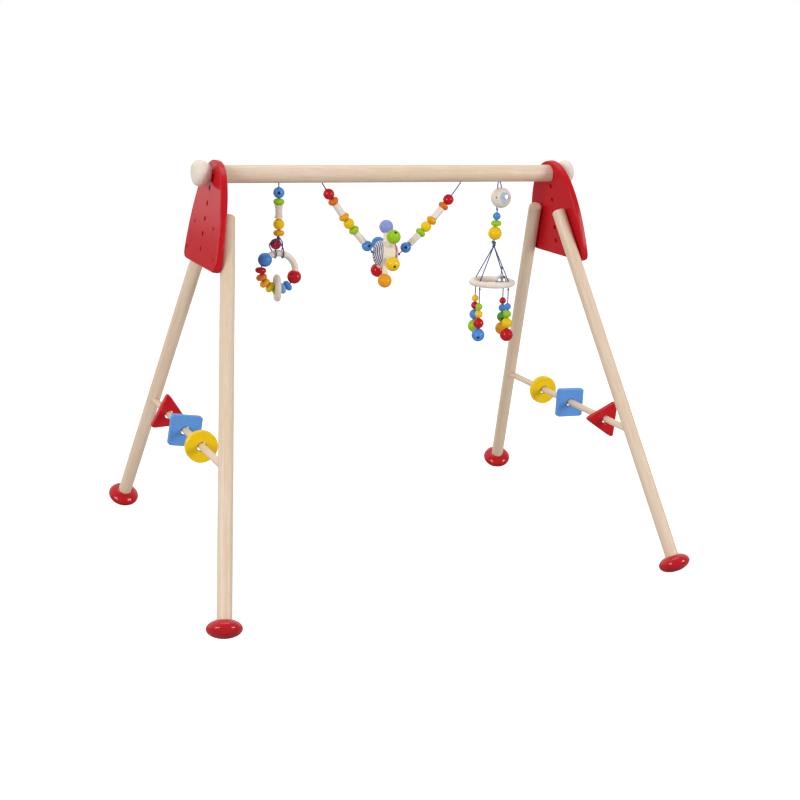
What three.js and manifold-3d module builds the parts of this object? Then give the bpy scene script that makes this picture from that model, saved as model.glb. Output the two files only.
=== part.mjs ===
// Activity play gym: a wooden bar on two A-shaped leg frames, with three hanging toys and a row of
// sliding shapes on each side. Millimetres. +X runs along the bar, +Y to the back, +Z up, and the
// origin is on the floor under the middle of the bar.
import * as THREE from "three";
import { mergeVertices } from "three/addons/utils/BufferGeometryUtils.js";
import Module from "manifold-3d";

const wasm = await Module();
wasm.setup();

// ---------------------------------------------------------------- driving dimensions
const GAP = 0.3; // air left between pieces that touch on the real object
const radians = THREE.MathUtils.degToRad;

// The side frames: each leans outward, and its own frame has its origin where the legs' plane
// meets the height of the bar, X out through the plate, Y along the floor and Z up the plate.
const BAR_Z = 552;
const BAR_RADIUS = 12.5;
const SIDE_X = 246;
const SIDE_LEAN = radians(9.67);
const SIDES = [
  { name: "left", sign: -1 },
  { name: "right", sign: 1 },
];

const LEG_RADIUS = 10;
const LEG_SPREAD = radians(27.3); // between a leg and the middle line of its side
const LEG_OFFSET = 9; // from the middle line to a leg's axis, at the height of the bar
const LEG_TOP = 53; // below the bar, measured down the plate
const LEG_CHAMFER = 2.5;
const LEG_SIDES = 14; // a foot's socket has as many, so that the leg fits it

const FOOT_Z = 14.3;
const FOOT_RADIUS = 23.2;
const FOOT_HALF_HEIGHT = 12.7;
const FOOT_SOCKET = 2.5; // below the foot's middle

const PLATE_INNER = LEG_RADIUS + GAP; // from the legs' plane to the plate's inner face
const PLATE_THICKNESS = 10;
const PLATE_OUTER = PLATE_INNER + PLATE_THICKNESS;
const PLATE_TOP = 16.5;
const PLATE_BOTTOM = -128.5;
const PLATE_HALF_WIDTH = 80.5;
const PLATE_CROWN = 51; // how far to each side the round top reaches before it turns down
const PLATE_SHOULDER = -50; // the height at which the round top meets the side
const PLATE_DRAW_IN = 3.5; // of the side, from the corner up to the shoulder
const PLATE_CORNER = 13;
const PLATE_BEVEL = 1.5;
const HEIGHT_HOLE_RADIUS = 3.6;
const HEIGHT_HOLE_PITCH = 21;
const HEIGHT_HOLE_DROP = 1.2; // of the highest hole, below the height of the bar, down the plate
const HEIGHT_HOLES = 5; // below the one that holds the bar

const SCREW_DEPTHS = [73, 111.5]; // down the plate from the bar
const SCREW_RADIUS = 1.5;
const SCREW_HEAD_RADIUS = 2.3;
const SCREW_HEAD_HEIGHT = 1.8;
const SCREW_SINK = 3; // depth of the round recess over each screw
const SCREW_TIP = -2.5; // how far past the leg's axis the tip reaches

const RUNG_Z = 193.3;
const RUNG_RADIUS = 5;
const RUNG_SEAT = 1; // how far past the leg's axis the rung's hole is drilled

const SHAPE_THICKNESS = 10;
const SHAPE_HOLE_RADIUS = 6.5;
const SHAPE_HANG = SHAPE_HOLE_RADIUS - RUNG_RADIUS - 2 * GAP; // a shape hangs this far below its rung
const SQUARE_SIDE = 45;
const DISC_RADIUS = 22.5;
const TRIANGLE_RADIUS = 34; // to the sharp corner, before rounding
const SHAPE_CORNER = 5;

const KNOB_LENGTH = 24;
const KNOB_RADIUS = 18.2;
const KNOB_STANDOFF = 2; // the leaning plate leaves this much beside a level knob
const BOLT_RISE = 1.4; // of the level bolts above the bar's axis, so that they cross the plates' holes
const BOLT_Z = BAR_Z + BOLT_RISE;
const BOLT_RADIUS = 2.4;
const BOLT_IN_KNOB = 13;
const INSERT_LENGTH = 14;
const INSERT_RADIUS = 4.5;
const INSERT_SETBACK = 1.5;

// The hanging toys. Beads: small balls, lens-shaped discs and plain cylinders on round string.
const EXIT_Z = BAR_Z - BAR_RADIUS;
const CORD_RADIUS = 0.9;
const CORD_START = 1.2; // the string's solid begins this far under the bar
const STRING_BORE = 1.6;
const BALL_RADIUS = 7.9;
const LENS_RADIUS = 7.9;
const LENS_LENGTH = 8.5;
const TUBE_RADIUS = 5.1;
const TUBE_LENGTH = 19.5;
const KNOT_RADIUS = 2.8;

const PENDANT_X = -171.5;
const PENDANT_FIRST_BEAD = 5.4; // below the bar
const SPOOL_LENGTH = 18.5;
const SPOOL_RADIUS = 6.6;
const SPOOL_WAIST = 4;

const GRASP_CENTRE = [-172.6, 0, 416.3];
const GRASP_RADIUS = 25.4;
const GRASP_TUBE = 4.7;
const GRASP_BALL = 10;
const GRASP_BLUE_ANGLE = 139;
const GRASP_RED_ANGLE = 340;
const GRASP_LENS_ANGLES = [175.5, 198, 220, 241.5, 262, 284, 303.5];
const LOOSE_CENTRE = [-174.1, 0, 392.6];
const LOOSE_TURN = radians(-10.7); // of the loose ring's axis from the bar's direction
const LOOSE_RADIUS = 15;
const LOOSE_TUBE = 4.5;
const SLING_KNOT_RADIUS = 2.2;
const SLING_BEAD = [-174.4, 5, 454.1];

const GARLAND_EXIT_X = 107.5;
const SPINNER_CENTRE = [-9.5, 0, 436.6];
const SPINNER_DIP = radians(6); // its right end hangs lower
const SPINNER_TURN = radians(-4.5); // and nearer the front
const DRUM_RADIUS = 18;
const DRUM_HALF_LENGTH = 9.25;
const DRUM_DOME = 9;
const PEG_RADIUS = 4;
const PEG_REACH = 39.5; // from the spinner's axis to each ball's middle
const PEG_BALL = 10.3;
const PEG_COUNT = 6;
const PEG_PHASE = -16;

const MOBILE_X = 171.5;
const RATTLE_CENTRE = [175.8, 0, 515.8];
const RATTLE_RADIUS = 15.3;
const RATTLE_BORE_X = 169.4; // its string runs to the left of its middle
const MOBILE_BEADS = [
  { name: "mobile_blue_bead", kind: "ball", radius: 5.9, at: [169.9, 0, 488.3], colour: "blue" },
  { name: "mobile_green_disc", kind: "lens", at: [169.5, 0, 477.6], colour: "green" },
  { name: "mobile_yellow_bead", kind: "ball", radius: 10.3, at: [168, 0, 462.7], colour: "yellow" },
];
const MOBILE_TURN = [170.3, 0, 495.5]; // where the string straightens below the rattle
const MOBILE_KNOT = [167.2, 0, 448.9];
const MOBILE_RING_CENTRE = [166.5, 0, 388.3];
const MOBILE_RING_RADIUS = 30.6;
const MOBILE_RING_TUBE = 4.7;
const DANGLE_RADII = [5.3, 6, 8, 10];
const DANGLES = [
  { name: "dangle_front_left", angle: -153, drop: 34.2 },
  { name: "dangle_front_right", angle: -62, drop: 33.5 },
  { name: "dangle_back_right", angle: 28, drop: 32 },
  { name: "dangle_back_left", angle: 118, drop: 28.5 },
];
const DANGLE_CLEARANCE = 1.5; // between the ring and the top of a dangle's string
const BELL_CENTRE = [180, -3.7, 391.5];
const BELL_RADIUS = 9;
const BELL_HANG_Z = 412;

// ---------------------------------------------------------------- materials
function material(colour, roughness, metalness = 0) {
  return new THREE.MeshStandardMaterial({ color: colour, roughness, metalness });
}

const MATERIALS = {
  wood: material("#dfc6a8", 0.5),
  red: material("#b5101f", 0.2),
  blue: material("#6499dc", 0.35),
  yellow: material("#f0cc12", 0.35),
  green: material("#a6ce2e", 0.35),
  amber: material("#eda91f", 0.35),
  cord: material("#33457f", 0.9),
  steel: material("#b8b8b8", 0.3, 1),
  brass: material("#c8a558", 0.35, 1),
};

// ---------------------------------------------------------------- solids
const X_AXIS = new THREE.Vector3(1, 0, 0);
const Y_AXIS = new THREE.Vector3(0, 1, 0);
const Z_AXIS = new THREE.Vector3(0, 0, 1);

function point([x, y, z]) {
  return new THREE.Vector3(x, y, z);
}

// A closed geometry as a manifold solid, so that it can be cut or joined.
function solid(geometry) {
  const bare = geometry.clone();
  bare.deleteAttribute("normal");
  bare.deleteAttribute("uv");
  const merged = mergeVertices(bare, 1e-4);
  const shell = new wasm.Mesh({
    numProp: 3,
    vertProperties: merged.attributes.position.array,
    triVerts: new Uint32Array(merged.index.array),
  });
  return new wasm.Manifold(shell);
}

function geometryOf(manifold) {
  const shell = manifold.getMesh();
  const geometry = new THREE.BufferGeometry();
  geometry.setAttribute("position", new THREE.BufferAttribute(shell.vertProperties, 3));
  geometry.setIndex(new THREE.BufferAttribute(shell.triVerts, 1));
  geometry.computeVertexNormals();
  return geometry;
}

function join(geometries) {
  return geometryOf(geometries.map(solid).reduce((all, next) => all.add(next)));
}

function cut(geometry, tools) {
  return geometryOf(tools.map(solid).reduce((rest, tool) => rest.subtract(tool), solid(geometry)));
}

function named(name, geometry, colour) {
  const mesh = new THREE.Mesh(geometry, MATERIALS[colour]);
  mesh.name = name;
  return mesh;
}

// Turns a profile of [radius, height] points about Z.
function turned(profile, segments = 10) {
  const points = profile.map(([radius, height]) => new THREE.Vector2(radius, height));
  return new THREE.LatheGeometry(points, segments).rotateX(Math.PI / 2);
}

// Moves a geometry made about Z so that its axis points along a direction, through a place.
function aimed(geometry, direction, place = [0, 0, 0]) {
  const turn = new THREE.Quaternion().setFromUnitVectors(Z_AXIS, direction.clone().normalize());
  return geometry.applyQuaternion(turn).translate(...place);
}

// A cylinder from one place to another.
function rod(radius, from, to, segments = 12) {
  const [start, end] = [point(from), point(to)];
  const length = start.distanceTo(end);
  const geometry = new THREE.CylinderGeometry(radius, radius, length, segments).rotateX(Math.PI / 2);
  const middle = start.clone().add(end).multiplyScalar(0.5);
  return aimed(geometry, end.sub(start), middle.toArray());
}

function ball(radius, place, segments = 9) {
  return new THREE.SphereGeometry(radius, segments, Math.round(segments * 0.6)).translate(...place);
}

// A round tube along a curve, closed at both ends. A full circle is drawn with two sides a segment.
function tube(curve, radius, steps, sides = 8) {
  const section = new THREE.Shape().absarc(0, 0, radius, 0, 2 * Math.PI);
  return new THREE.ExtrudeGeometry(section, { steps, curveSegments: sides / 2, extrudePath: curve });
}

function smoothCurve(places) {
  return new THREE.CatmullRomCurve3(places.map(point));
}

// A string pulled straight from each place to the next.
function strand(places) {
  return join(places.slice(1).map((place, i) => rod(CORD_RADIUS, places[i], place, 6)));
}

// Points on a circle in the XZ plane, from one angle in degrees to another.
function arcPlaces(centre, radius, from, to, count) {
  return Array.from({ length: count + 1 }, (_, i) => {
    const angle = radians(from + ((to - from) * i) / count);
    return [centre[0] + radius * Math.cos(angle), centre[1], centre[2] + radius * Math.sin(angle)];
  });
}

// ---------------------------------------------------------------- beads, each about Z
function ballBead(radius, bore) {
  const start = Math.asin(bore / radius);
  const rows = 6;
  const profile = Array.from({ length: rows + 1 }, (_, i) => {
    const angle = start + ((Math.PI - 2 * start) * i) / rows;
    return [radius * Math.sin(angle), -radius * Math.cos(angle)];
  });
  return turned([...profile, profile[0]]);
}

function lensBead(bore) {
  const half = LENS_LENGTH / 2;
  const side = [[bore, -half], [LENS_RADIUS * 0.4, -half], [LENS_RADIUS, -1]];
  const other = side.map(([radius, height]) => [radius, -height]).reverse();
  return turned([...side, ...other, side[0]]);
}

// A hollow-waisted spool with a flange at each end.
function spoolBead(bore) {
  const half = SPOOL_LENGTH / 2;
  const side = [[bore, -half], [SPOOL_RADIUS, -half], [SPOOL_RADIUS, -half + 2], [SPOOL_WAIST + 0.6, -half + 4]];
  const waist = [SPOOL_WAIST, 0];
  const other = side.map(([radius, height]) => [radius, -height]).reverse();
  return turned([...side, waist, ...other, side[0]]);
}

function tubeBead() {
  return rod(TUBE_RADIUS, [0, 0, -TUBE_LENGTH / 2], [0, 0, TUBE_LENGTH / 2], 8);
}

const BORED = {
  ball: { length: 2 * BALL_RADIUS, make: () => ballBead(BALL_RADIUS, STRING_BORE) },
  lens: { length: LENS_LENGTH, make: () => lensBead(STRING_BORE) },
  spool: { length: SPOOL_LENGTH, make: () => spoolBead(STRING_BORE) },
};

// Beads without a bore, for strings whose beads are joined into one solid.
const STRUNG = {
  ball: { length: 2 * BALL_RADIUS, make: () => ball(BALL_RADIUS, [0, 0, 0]) },
  lens: { length: LENS_LENGTH, make: () => lensBead(0) },
  tube: { length: TUBE_LENGTH, make: tubeBead },
};

// Beads threaded one after another on a curve, joined with the string that carries them.
function beadString(curve, firstCentre, kinds, steps) {
  const length = curve.getLength();
  const pieces = [tube(curve, CORD_RADIUS, steps, 6)];
  let edge = firstCentre - STRUNG[kinds[0]].length / 2;
  for (const kind of kinds) {
    const share = (edge + STRUNG[kind].length / 2) / length;
    pieces.push(aimed(STRUNG[kind].make(), curve.getTangentAt(share), curve.getPointAt(share).toArray()));
    edge += STRUNG[kind].length;
  }
  return join(pieces);
}

// ---------------------------------------------------------------- side frames
// How far a leg's axis is from the middle line, at a distance down the plate from the bar.
function legOffset(down) {
  return LEG_OFFSET + down * Math.tan(LEG_SPREAD);
}

function downOf(height) {
  return (BAR_Z - height) / Math.cos(SIDE_LEAN);
}

function onLeg(end, down) {
  return [0, end * legOffset(down), -down];
}

function plateOutline() {
  const outline = new THREE.Shape();
  const corner = PLATE_BOTTOM + PLATE_CORNER;
  const edge = PLATE_HALF_WIDTH;
  const side = PLATE_HALF_WIDTH - PLATE_DRAW_IN;
  outline.moveTo(-edge + PLATE_CORNER, PLATE_BOTTOM);
  outline.lineTo(edge - PLATE_CORNER, PLATE_BOTTOM);
  outline.quadraticCurveTo(edge, PLATE_BOTTOM, edge, corner);
  outline.bezierCurveTo(side, PLATE_SHOULDER, PLATE_CROWN, PLATE_TOP, 0, PLATE_TOP);
  outline.bezierCurveTo(-PLATE_CROWN, PLATE_TOP, -side, PLATE_SHOULDER, -edge, corner);
  outline.quadraticCurveTo(-edge, PLATE_BOTTOM, -edge + PLATE_CORNER, PLATE_BOTTOM);
  return outline;
}

function screwPlaces() {
  return [-1, 1].flatMap((end) => SCREW_DEPTHS.map((down) => onLeg(end, down)));
}

// The row of holes that the bar's bolt can pass through, drilled square to the plate.
function heightHoles() {
  const middle = PLATE_INNER + PLATE_THICKNESS / 2;
  return Array.from({ length: HEIGHT_HOLES + 1 }, (_, i) => {
    const height = -HEIGHT_HOLE_DROP - i * HEIGHT_HOLE_PITCH;
    return rod(HEIGHT_HOLE_RADIUS, [middle - PLATE_THICKNESS, 0, height], [middle + PLATE_THICKNESS, 0, height]);
  });
}

function plateGeometry() {
  const sheet = new THREE.ExtrudeGeometry(plateOutline(), {
    depth: PLATE_THICKNESS - 2 * PLATE_BEVEL,
    curveSegments: 6,
    bevelThickness: PLATE_BEVEL,
    bevelSize: PLATE_BEVEL,
    bevelOffset: -PLATE_BEVEL,
    bevelSegments: 1,
  });
  sheet.translate(0, 0, PLATE_INNER + PLATE_BEVEL);
  sheet.applyMatrix4(new THREE.Matrix4().makeBasis(Y_AXIS, Z_AXIS, X_AXIS));
  const screwHoles = screwPlaces().flatMap(([, y, z]) => [
    rod(SCREW_RADIUS + GAP, [PLATE_INNER - 2, y, z], [PLATE_OUTER + 2, y, z], 8),
    rod(SCREW_HEAD_RADIUS + GAP, [PLATE_OUTER - SCREW_SINK, y, z], [PLATE_OUTER + 2, y, z], 8),
  ]);
  return cut(sheet, [...heightHoles(), ...screwHoles]);
}

function screwGeometry() {
  const shoulder = PLATE_OUTER - SCREW_SINK + GAP;
  const profile = [
    [0, SCREW_TIP],
    [SCREW_RADIUS, SCREW_TIP + 3],
    [SCREW_RADIUS, shoulder],
    [SCREW_HEAD_RADIUS, shoulder],
    [SCREW_HEAD_RADIUS, shoulder + SCREW_HEAD_HEIGHT],
    [0, shoulder + SCREW_HEAD_HEIGHT],
  ];
  return aimed(turned(profile, 8), X_AXIS);
}

function legGeometry(end) {
  const top = point(onLeg(end, LEG_TOP));
  const foot = point(onLeg(end, downOf(FOOT_Z)));
  const direction = top.clone().sub(foot).normalize();
  const length = top.distanceTo(foot) + FOOT_SOCKET - GAP;
  const profile = [
    [0, -length],
    [LEG_RADIUS, -length],
    [LEG_RADIUS, -LEG_CHAMFER],
    [LEG_RADIUS - LEG_CHAMFER, 0],
    [0, 0],
  ];
  const leg = aimed(turned(profile, LEG_SIDES), direction, top.toArray());
  const screwHoles = SCREW_DEPTHS.map((down) => {
    const [, y, z] = onLeg(end, down);
    return rod(SCREW_RADIUS + GAP, [SCREW_TIP - GAP, y, z], [LEG_RADIUS + 1, y, z], 8);
  });
  const [, seat, z] = onLeg(end, downOf(RUNG_Z));
  const deepest = [0, seat + end * RUNG_SEAT, z];
  const rungHole = rod(RUNG_RADIUS + GAP, deepest, [0, seat - end * 2 * LEG_RADIUS, z], 14);
  return cut(leg, [...screwHoles, rungHole]);
}

function footProfile() {
  const rows = 4;
  const bowl = Array.from({ length: rows + 1 }, (_, i) => {
    const angle = (Math.PI / 2) * (i / rows);
    return [FOOT_RADIUS * Math.sin(angle), -FOOT_HALF_HEIGHT * Math.cos(angle)];
  });
  return [
    ...bowl,
    [FOOT_RADIUS * 0.94, FOOT_HALF_HEIGHT * 0.34],
    [FOOT_RADIUS * 0.77, FOOT_HALF_HEIGHT * 0.64],
    [LEG_RADIUS + 2, FOOT_HALF_HEIGHT * 0.86],
    [LEG_RADIUS + GAP, FOOT_HALF_HEIGHT * 0.86],
    [LEG_RADIUS + GAP, -FOOT_SOCKET],
    [0, -FOOT_SOCKET],
  ];
}

// A foot sits square on its leg, and is ground flat where it meets the floor.
function footMesh(name, frame, end) {
  const middle = point(onLeg(end, downOf(FOOT_Z)));
  const up = point(onLeg(end, LEG_TOP)).sub(middle);
  const foot = aimed(turned(footProfile(), LEG_SIDES), up, middle.toArray());
  foot.applyMatrix4(frame.matrix);
  return named(name, geometryOf(solid(foot).trimByPlane([0, 0, 1], 0)), "red");
}

function sideFrame(side, gym) {
  const frame = new THREE.Group();
  frame.position.set(side.sign * SIDE_X, 0, BAR_Z);
  frame.rotation.set(0, -SIDE_LEAN, side.sign > 0 ? 0 : Math.PI, "ZYX");
  frame.updateMatrix();
  frame.add(named(`plate_${side.name}`, plateGeometry(), "red"));
  for (const [place, front] of [["front", -1], ["back", 1]]) {
    const end = front * side.sign;
    frame.add(named(`leg_${place}_${side.name}`, legGeometry(end), "wood"));
    gym.add(footMesh(`foot_${place}_${side.name}`, frame, end));
    SCREW_DEPTHS.forEach((down, i) => {
      const screw = named(`screw_${place}_${side.name}_${i + 1}`, screwGeometry(), "steel");
      screw.position.set(...onLeg(end, down));
      frame.add(screw);
    });
  }
  const reach = legOffset(downOf(RUNG_Z)) + RUNG_SEAT - GAP;
  const z = -downOf(RUNG_Z);
  frame.add(named(`rung_${side.name}`, rod(RUNG_RADIUS, [0, -reach, z], [0, reach, z], 14), "wood"));
  gym.add(frame);
}

// ---------------------------------------------------------------- bar and knobs
// Where the plate's inner face is at the height of the bar, and how far out its outer face is.
const PLATE_INNER_X = SIDE_X + PLATE_INNER / Math.cos(SIDE_LEAN);
const PLATE_OUTER_X = SIDE_X + PLATE_OUTER / Math.cos(SIDE_LEAN);
const KNOB_X = PLATE_OUTER_X + KNOB_STANDOFF;

// The bar's ends are cut to the lean of the plates, and drilled for the threaded inserts.
function barGeometry() {
  const half = PLATE_INNER_X - GAP;
  const bar = rod(BAR_RADIUS, [-half, 0, 0], [half, 0, 0], 24);
  const places = bar.attributes.position;
  for (let i = 0; i < places.count; i += 1) {
    const x = places.getX(i);
    places.setX(i, x - Math.sign(x) * places.getZ(i) * Math.tan(SIDE_LEAN));
  }
  bar.translate(0, 0, BAR_Z);
  const depth = INSERT_SETBACK + INSERT_LENGTH + 4;
  const bores = SIDES.map(({ sign }) =>
    rod(INSERT_RADIUS + GAP, [sign * (half - depth), 0, BOLT_Z], [sign * (half + 9), 0, BOLT_Z]),
  );
  return cut(bar, bores);
}

function insertGeometry() {
  const start = PLATE_INNER_X - INSERT_SETBACK - INSERT_LENGTH;
  const end = start + INSERT_LENGTH;
  const bore = BOLT_RADIUS + GAP + 0.1;
  return turned([[bore, start], [INSERT_RADIUS, start], [INSERT_RADIUS, end], [bore, end], [bore, start]], 12);
}

function knobGeometry() {
  const bore = BOLT_RADIUS + GAP;
  const outline = new THREE.SplineCurve([
    new THREE.Vector2(9.5, 0),
    new THREE.Vector2(13.5, 3.5),
    new THREE.Vector2(17.2, 9.5),
    new THREE.Vector2(KNOB_RADIUS, 14.5),
    new THREE.Vector2(17, 19.5),
    new THREE.Vector2(12.5, KNOB_LENGTH),
  ]);
  const skin = outline.getPoints(7).map((place) => [place.x, KNOB_X + place.y]);
  const floor = KNOB_X + BOLT_IN_KNOB + GAP;
  return turned([[0, floor], [bore, floor], [bore, KNOB_X], ...skin, [0, KNOB_X + KNOB_LENGTH]], 12);
}

function knobParts(side, gym) {
  const out = new THREE.Vector3(side.sign, 0, 0);
  const tip = PLATE_INNER_X - INSERT_SETBACK - INSERT_LENGTH;
  const bolt = rod(BOLT_RADIUS, [0, 0, tip], [0, 0, KNOB_X + BOLT_IN_KNOB]);
  gym.add(named(`knob_${side.name}`, aimed(knobGeometry(), out, [0, 0, BOLT_Z]), "wood"));
  gym.add(named(`knob_bolt_${side.name}`, aimed(bolt, out, [0, 0, BOLT_Z]), "steel"));
  gym.add(named(`bar_insert_${side.name}`, aimed(insertGeometry(), out, [0, 0, BOLT_Z]), "brass"));
}

// ---------------------------------------------------------------- shapes on the rungs
// An outline with rounded corners, from corner points in order.
function roundedOutline(corners, radius) {
  const outline = new THREE.Shape();
  corners.forEach((corner, i) => {
    const before = corners[(i + corners.length - 1) % corners.length];
    const after = corners[(i + 1) % corners.length];
    const enter = corner.clone().add(before.clone().sub(corner).setLength(radius));
    const leave = corner.clone().add(after.clone().sub(corner).setLength(radius));
    if (i === 0) outline.moveTo(enter.x, enter.y);
    else outline.lineTo(enter.x, enter.y);
    outline.quadraticCurveTo(corner.x, corner.y, leave.x, leave.y);
  });
  outline.closePath();
  return outline;
}

function polygonOutline(count, radius, firstAngle, corner) {
  const corners = Array.from({ length: count }, (_, i) => {
    const angle = radians(firstAngle + (360 * i) / count);
    return new THREE.Vector2(radius * Math.cos(angle), radius * Math.sin(angle));
  });
  return roundedOutline(corners, corner);
}

const OUTLINES = {
  triangle: () => polygonOutline(3, TRIANGLE_RADIUS, 90, SHAPE_CORNER * 1.6),
  square: () => polygonOutline(4, SQUARE_SIDE * Math.SQRT1_2, 45, SHAPE_CORNER),
  disc: () => new THREE.Shape().absarc(0, 0, DISC_RADIUS, 0, 2 * Math.PI),
};

// A full circle as a run of points, for a hole that keeps its roundness whatever is drawn round it.
function circlePath(radius, count) {
  const places = Array.from({ length: count }, (_, i) => {
    const angle = (2 * Math.PI * i) / count;
    return new THREE.Vector2(radius * Math.cos(angle), radius * Math.sin(angle));
  });
  return new THREE.Path(places);
}

const SHAPES = [
  { name: "triangle_left", kind: "triangle", side: -1, y: 101.5, turn: 2, colour: "red" },
  { name: "square_left", kind: "square", side: -1, y: 8.5, turn: -9, colour: "blue" },
  { name: "disc_left", kind: "disc", side: -1, y: -78, turn: 0, colour: "yellow" },
  { name: "disc_right", kind: "disc", side: 1, y: 76, turn: 0, colour: "yellow" },
  { name: "square_right", kind: "square", side: 1, y: -12.5, turn: -2, colour: "blue" },
  { name: "triangle_right", kind: "triangle", side: 1, y: -121.5, turn: 85, colour: "red" },
];

// A flat shape that hangs on a rung by the hole in its middle, facing along Y.
function shapeMesh(shape) {
  const outline = OUTLINES[shape.kind]();
  outline.holes.push(circlePath(SHAPE_HOLE_RADIUS, 16));
  const curveSegments = shape.kind === "disc" ? 12 : 4;
  const geometry = new THREE.ExtrudeGeometry(outline, {
    depth: SHAPE_THICKNESS,
    curveSegments,
    bevelEnabled: false,
  });
  geometry.translate(0, 0, -SHAPE_THICKNESS / 2);
  const mesh = named(shape.name, geometry, shape.colour);
  const rungX = SIDE_X + (BAR_Z - RUNG_Z) * Math.tan(SIDE_LEAN);
  mesh.position.set(shape.side * rungX, shape.y, RUNG_Z - SHAPE_HANG);
  mesh.rotation.set(Math.PI / 2, radians(-shape.turn), 0, "YXZ");
  return mesh;
}

// ---------------------------------------------------------------- pendant with the grasping ring
const PENDANT_BEADS = [
  { name: "pendant_blue_bead", kind: "ball", colour: "blue" },
  { name: "pendant_green_disc", kind: "lens", colour: "green" },
  { name: "pendant_spool", kind: "spool", colour: "wood" },
  { name: "pendant_yellow_bead", kind: "ball", colour: "yellow" },
  { name: "pendant_amber_disc", kind: "lens", colour: "amber" },
];

function pendant(gym) {
  let top = EXIT_Z - PENDANT_FIRST_BEAD;
  for (const { name, kind, colour } of PENDANT_BEADS) {
    const { length, make } = BORED[kind];
    const mesh = named(name, make(), colour);
    mesh.position.set(PENDANT_X, 0, top - length / 2);
    gym.add(mesh);
    top -= length + GAP;
  }
  const cord = rod(CORD_RADIUS, [PENDANT_X, 0, EXIT_Z - CORD_START], [PENDANT_X, 0, top + GAP], 8);
  gym.add(named("pendant_cord", cord, "cord"));
  graspSling([PENDANT_X, 0, top - SLING_KNOT_RADIUS], gym);
}

// Each loop's way from the knot, down in front of the ring's arc, under it and up behind. The left
// loop goes round the red bead's side, and the right loop stays clear of it.
const SLING_LOOPS = [
  [
    [-175.2, -3.5, 461],
    [-179.6, -5.7, 454],
    [-178.7, -6.3, 448.3],
    [-177.2, -6.2, 441.3],
    [-177.2, -4.5, 436.9],
    [-177.2, 0, 435],
    [-177.2, 4.5, 436.9],
    [-177.6, 6.3, 441.3],
    [-181, 7.6, 447],
    [-183.9, 4.6, 453.5],
    [-180.5, -1.5, 459.7],
  ],
  [
    [-172, -3.4, 460.4],
    [-170.2, -5.8, 455.8],
    [-167.9, -6.6, 450.4],
    [-166.5, -6.4, 445.6],
    [-166.4, -6.2, 441],
    [-166.4, -4.4, 436.6],
    [-166.4, 0, 434.7],
    [-166.4, 4.4, 436.6],
    [-166.2, 6.3, 441],
    [-164.2, 6.9, 447.5],
    [-164.4, 5, 454],
    [-167.4, 1.5, 460],
  ],
];

// The string under the pendant: a knot, and two loops that hold the ring's wooden arc.
function graspSling(knot, gym) {
  const loops = SLING_LOOPS.map((places) => tube(smoothCurve([knot, ...places, knot]), CORD_RADIUS, 26, 6));
  gym.add(named("grasp_sling", join([ball(SLING_KNOT_RADIUS, knot), ...loops]), "cord"));
  gym.add(named("grasp_red_bead", ball(BALL_RADIUS, SLING_BEAD), "red"));
}

function onGraspRing(angle) {
  return arcPlaces(GRASP_CENTRE, GRASP_RADIUS, angle, angle, 1)[0];
}

function graspTangent(angle) {
  return new THREE.Vector3(-Math.sin(radians(angle)), 0, Math.cos(radians(angle)));
}

function graspRing(gym) {
  const arc = arcPlaces(GRASP_CENTRE, GRASP_RADIUS, GRASP_BLUE_ANGLE, GRASP_RED_ANGLE - 360, 12);
  const string = arcPlaces(GRASP_CENTRE, GRASP_RADIUS, GRASP_BLUE_ANGLE, GRASP_RED_ANGLE, 14);
  const ring = join([
    tube(smoothCurve(arc), GRASP_TUBE, 11, 8),
    tube(smoothCurve(string), CORD_RADIUS, 12, 6),
    ball(GRASP_BALL, onGraspRing(GRASP_BLUE_ANGLE), 10),
    ball(GRASP_BALL, onGraspRing(GRASP_RED_ANGLE), 10),
    ...GRASP_LENS_ANGLES.map((angle) => aimed(lensBead(0), graspTangent(angle), onGraspRing(angle))),
  ]);
  gym.add(named("grasp_ring", ring, "wood"));
  const loose = new THREE.TorusGeometry(LOOSE_RADIUS, LOOSE_TUBE, 8, 18);
  const across = X_AXIS.clone().applyAxisAngle(Z_AXIS, LOOSE_TURN);
  gym.add(named("loose_ring", aimed(loose, across, LOOSE_CENTRE), "wood"));
}

// ---------------------------------------------------------------- garland with the spinner
const GARLAND_KINDS = ["ball", "lens", "tube", "lens", "ball", "lens", "tube", "ball"];
const GARLAND_SIDES = [
  { name: "garland_left", sign: -1, bend: [-73.1, 0, 483.8], firstBead: 18.9 },
  { name: "garland_right", sign: 1, bend: [65.5, 0, 480.6], firstBead: 32 },
];

// The string leaves the drum along its axis on each side.
function garland(gym) {
  const axis = X_AXIS.clone().applyEuler(new THREE.Euler(0, SPINNER_DIP, SPINNER_TURN, "ZYX"));
  for (const { name, sign, bend, firstBead } of GARLAND_SIDES) {
    const reach = DRUM_HALF_LENGTH + DRUM_DOME + 3 * GAP;
    const end = point(SPINNER_CENTRE).addScaledVector(axis, sign * reach);
    const start = [sign * GARLAND_EXIT_X, 0, EXIT_Z - CORD_START];
    const curve = new THREE.QuadraticBezierCurve3(point(start), point(bend), end);
    gym.add(named(name, beadString(curve, firstBead - CORD_START, GARLAND_KINDS, 12), "wood"));
  }
}

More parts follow.
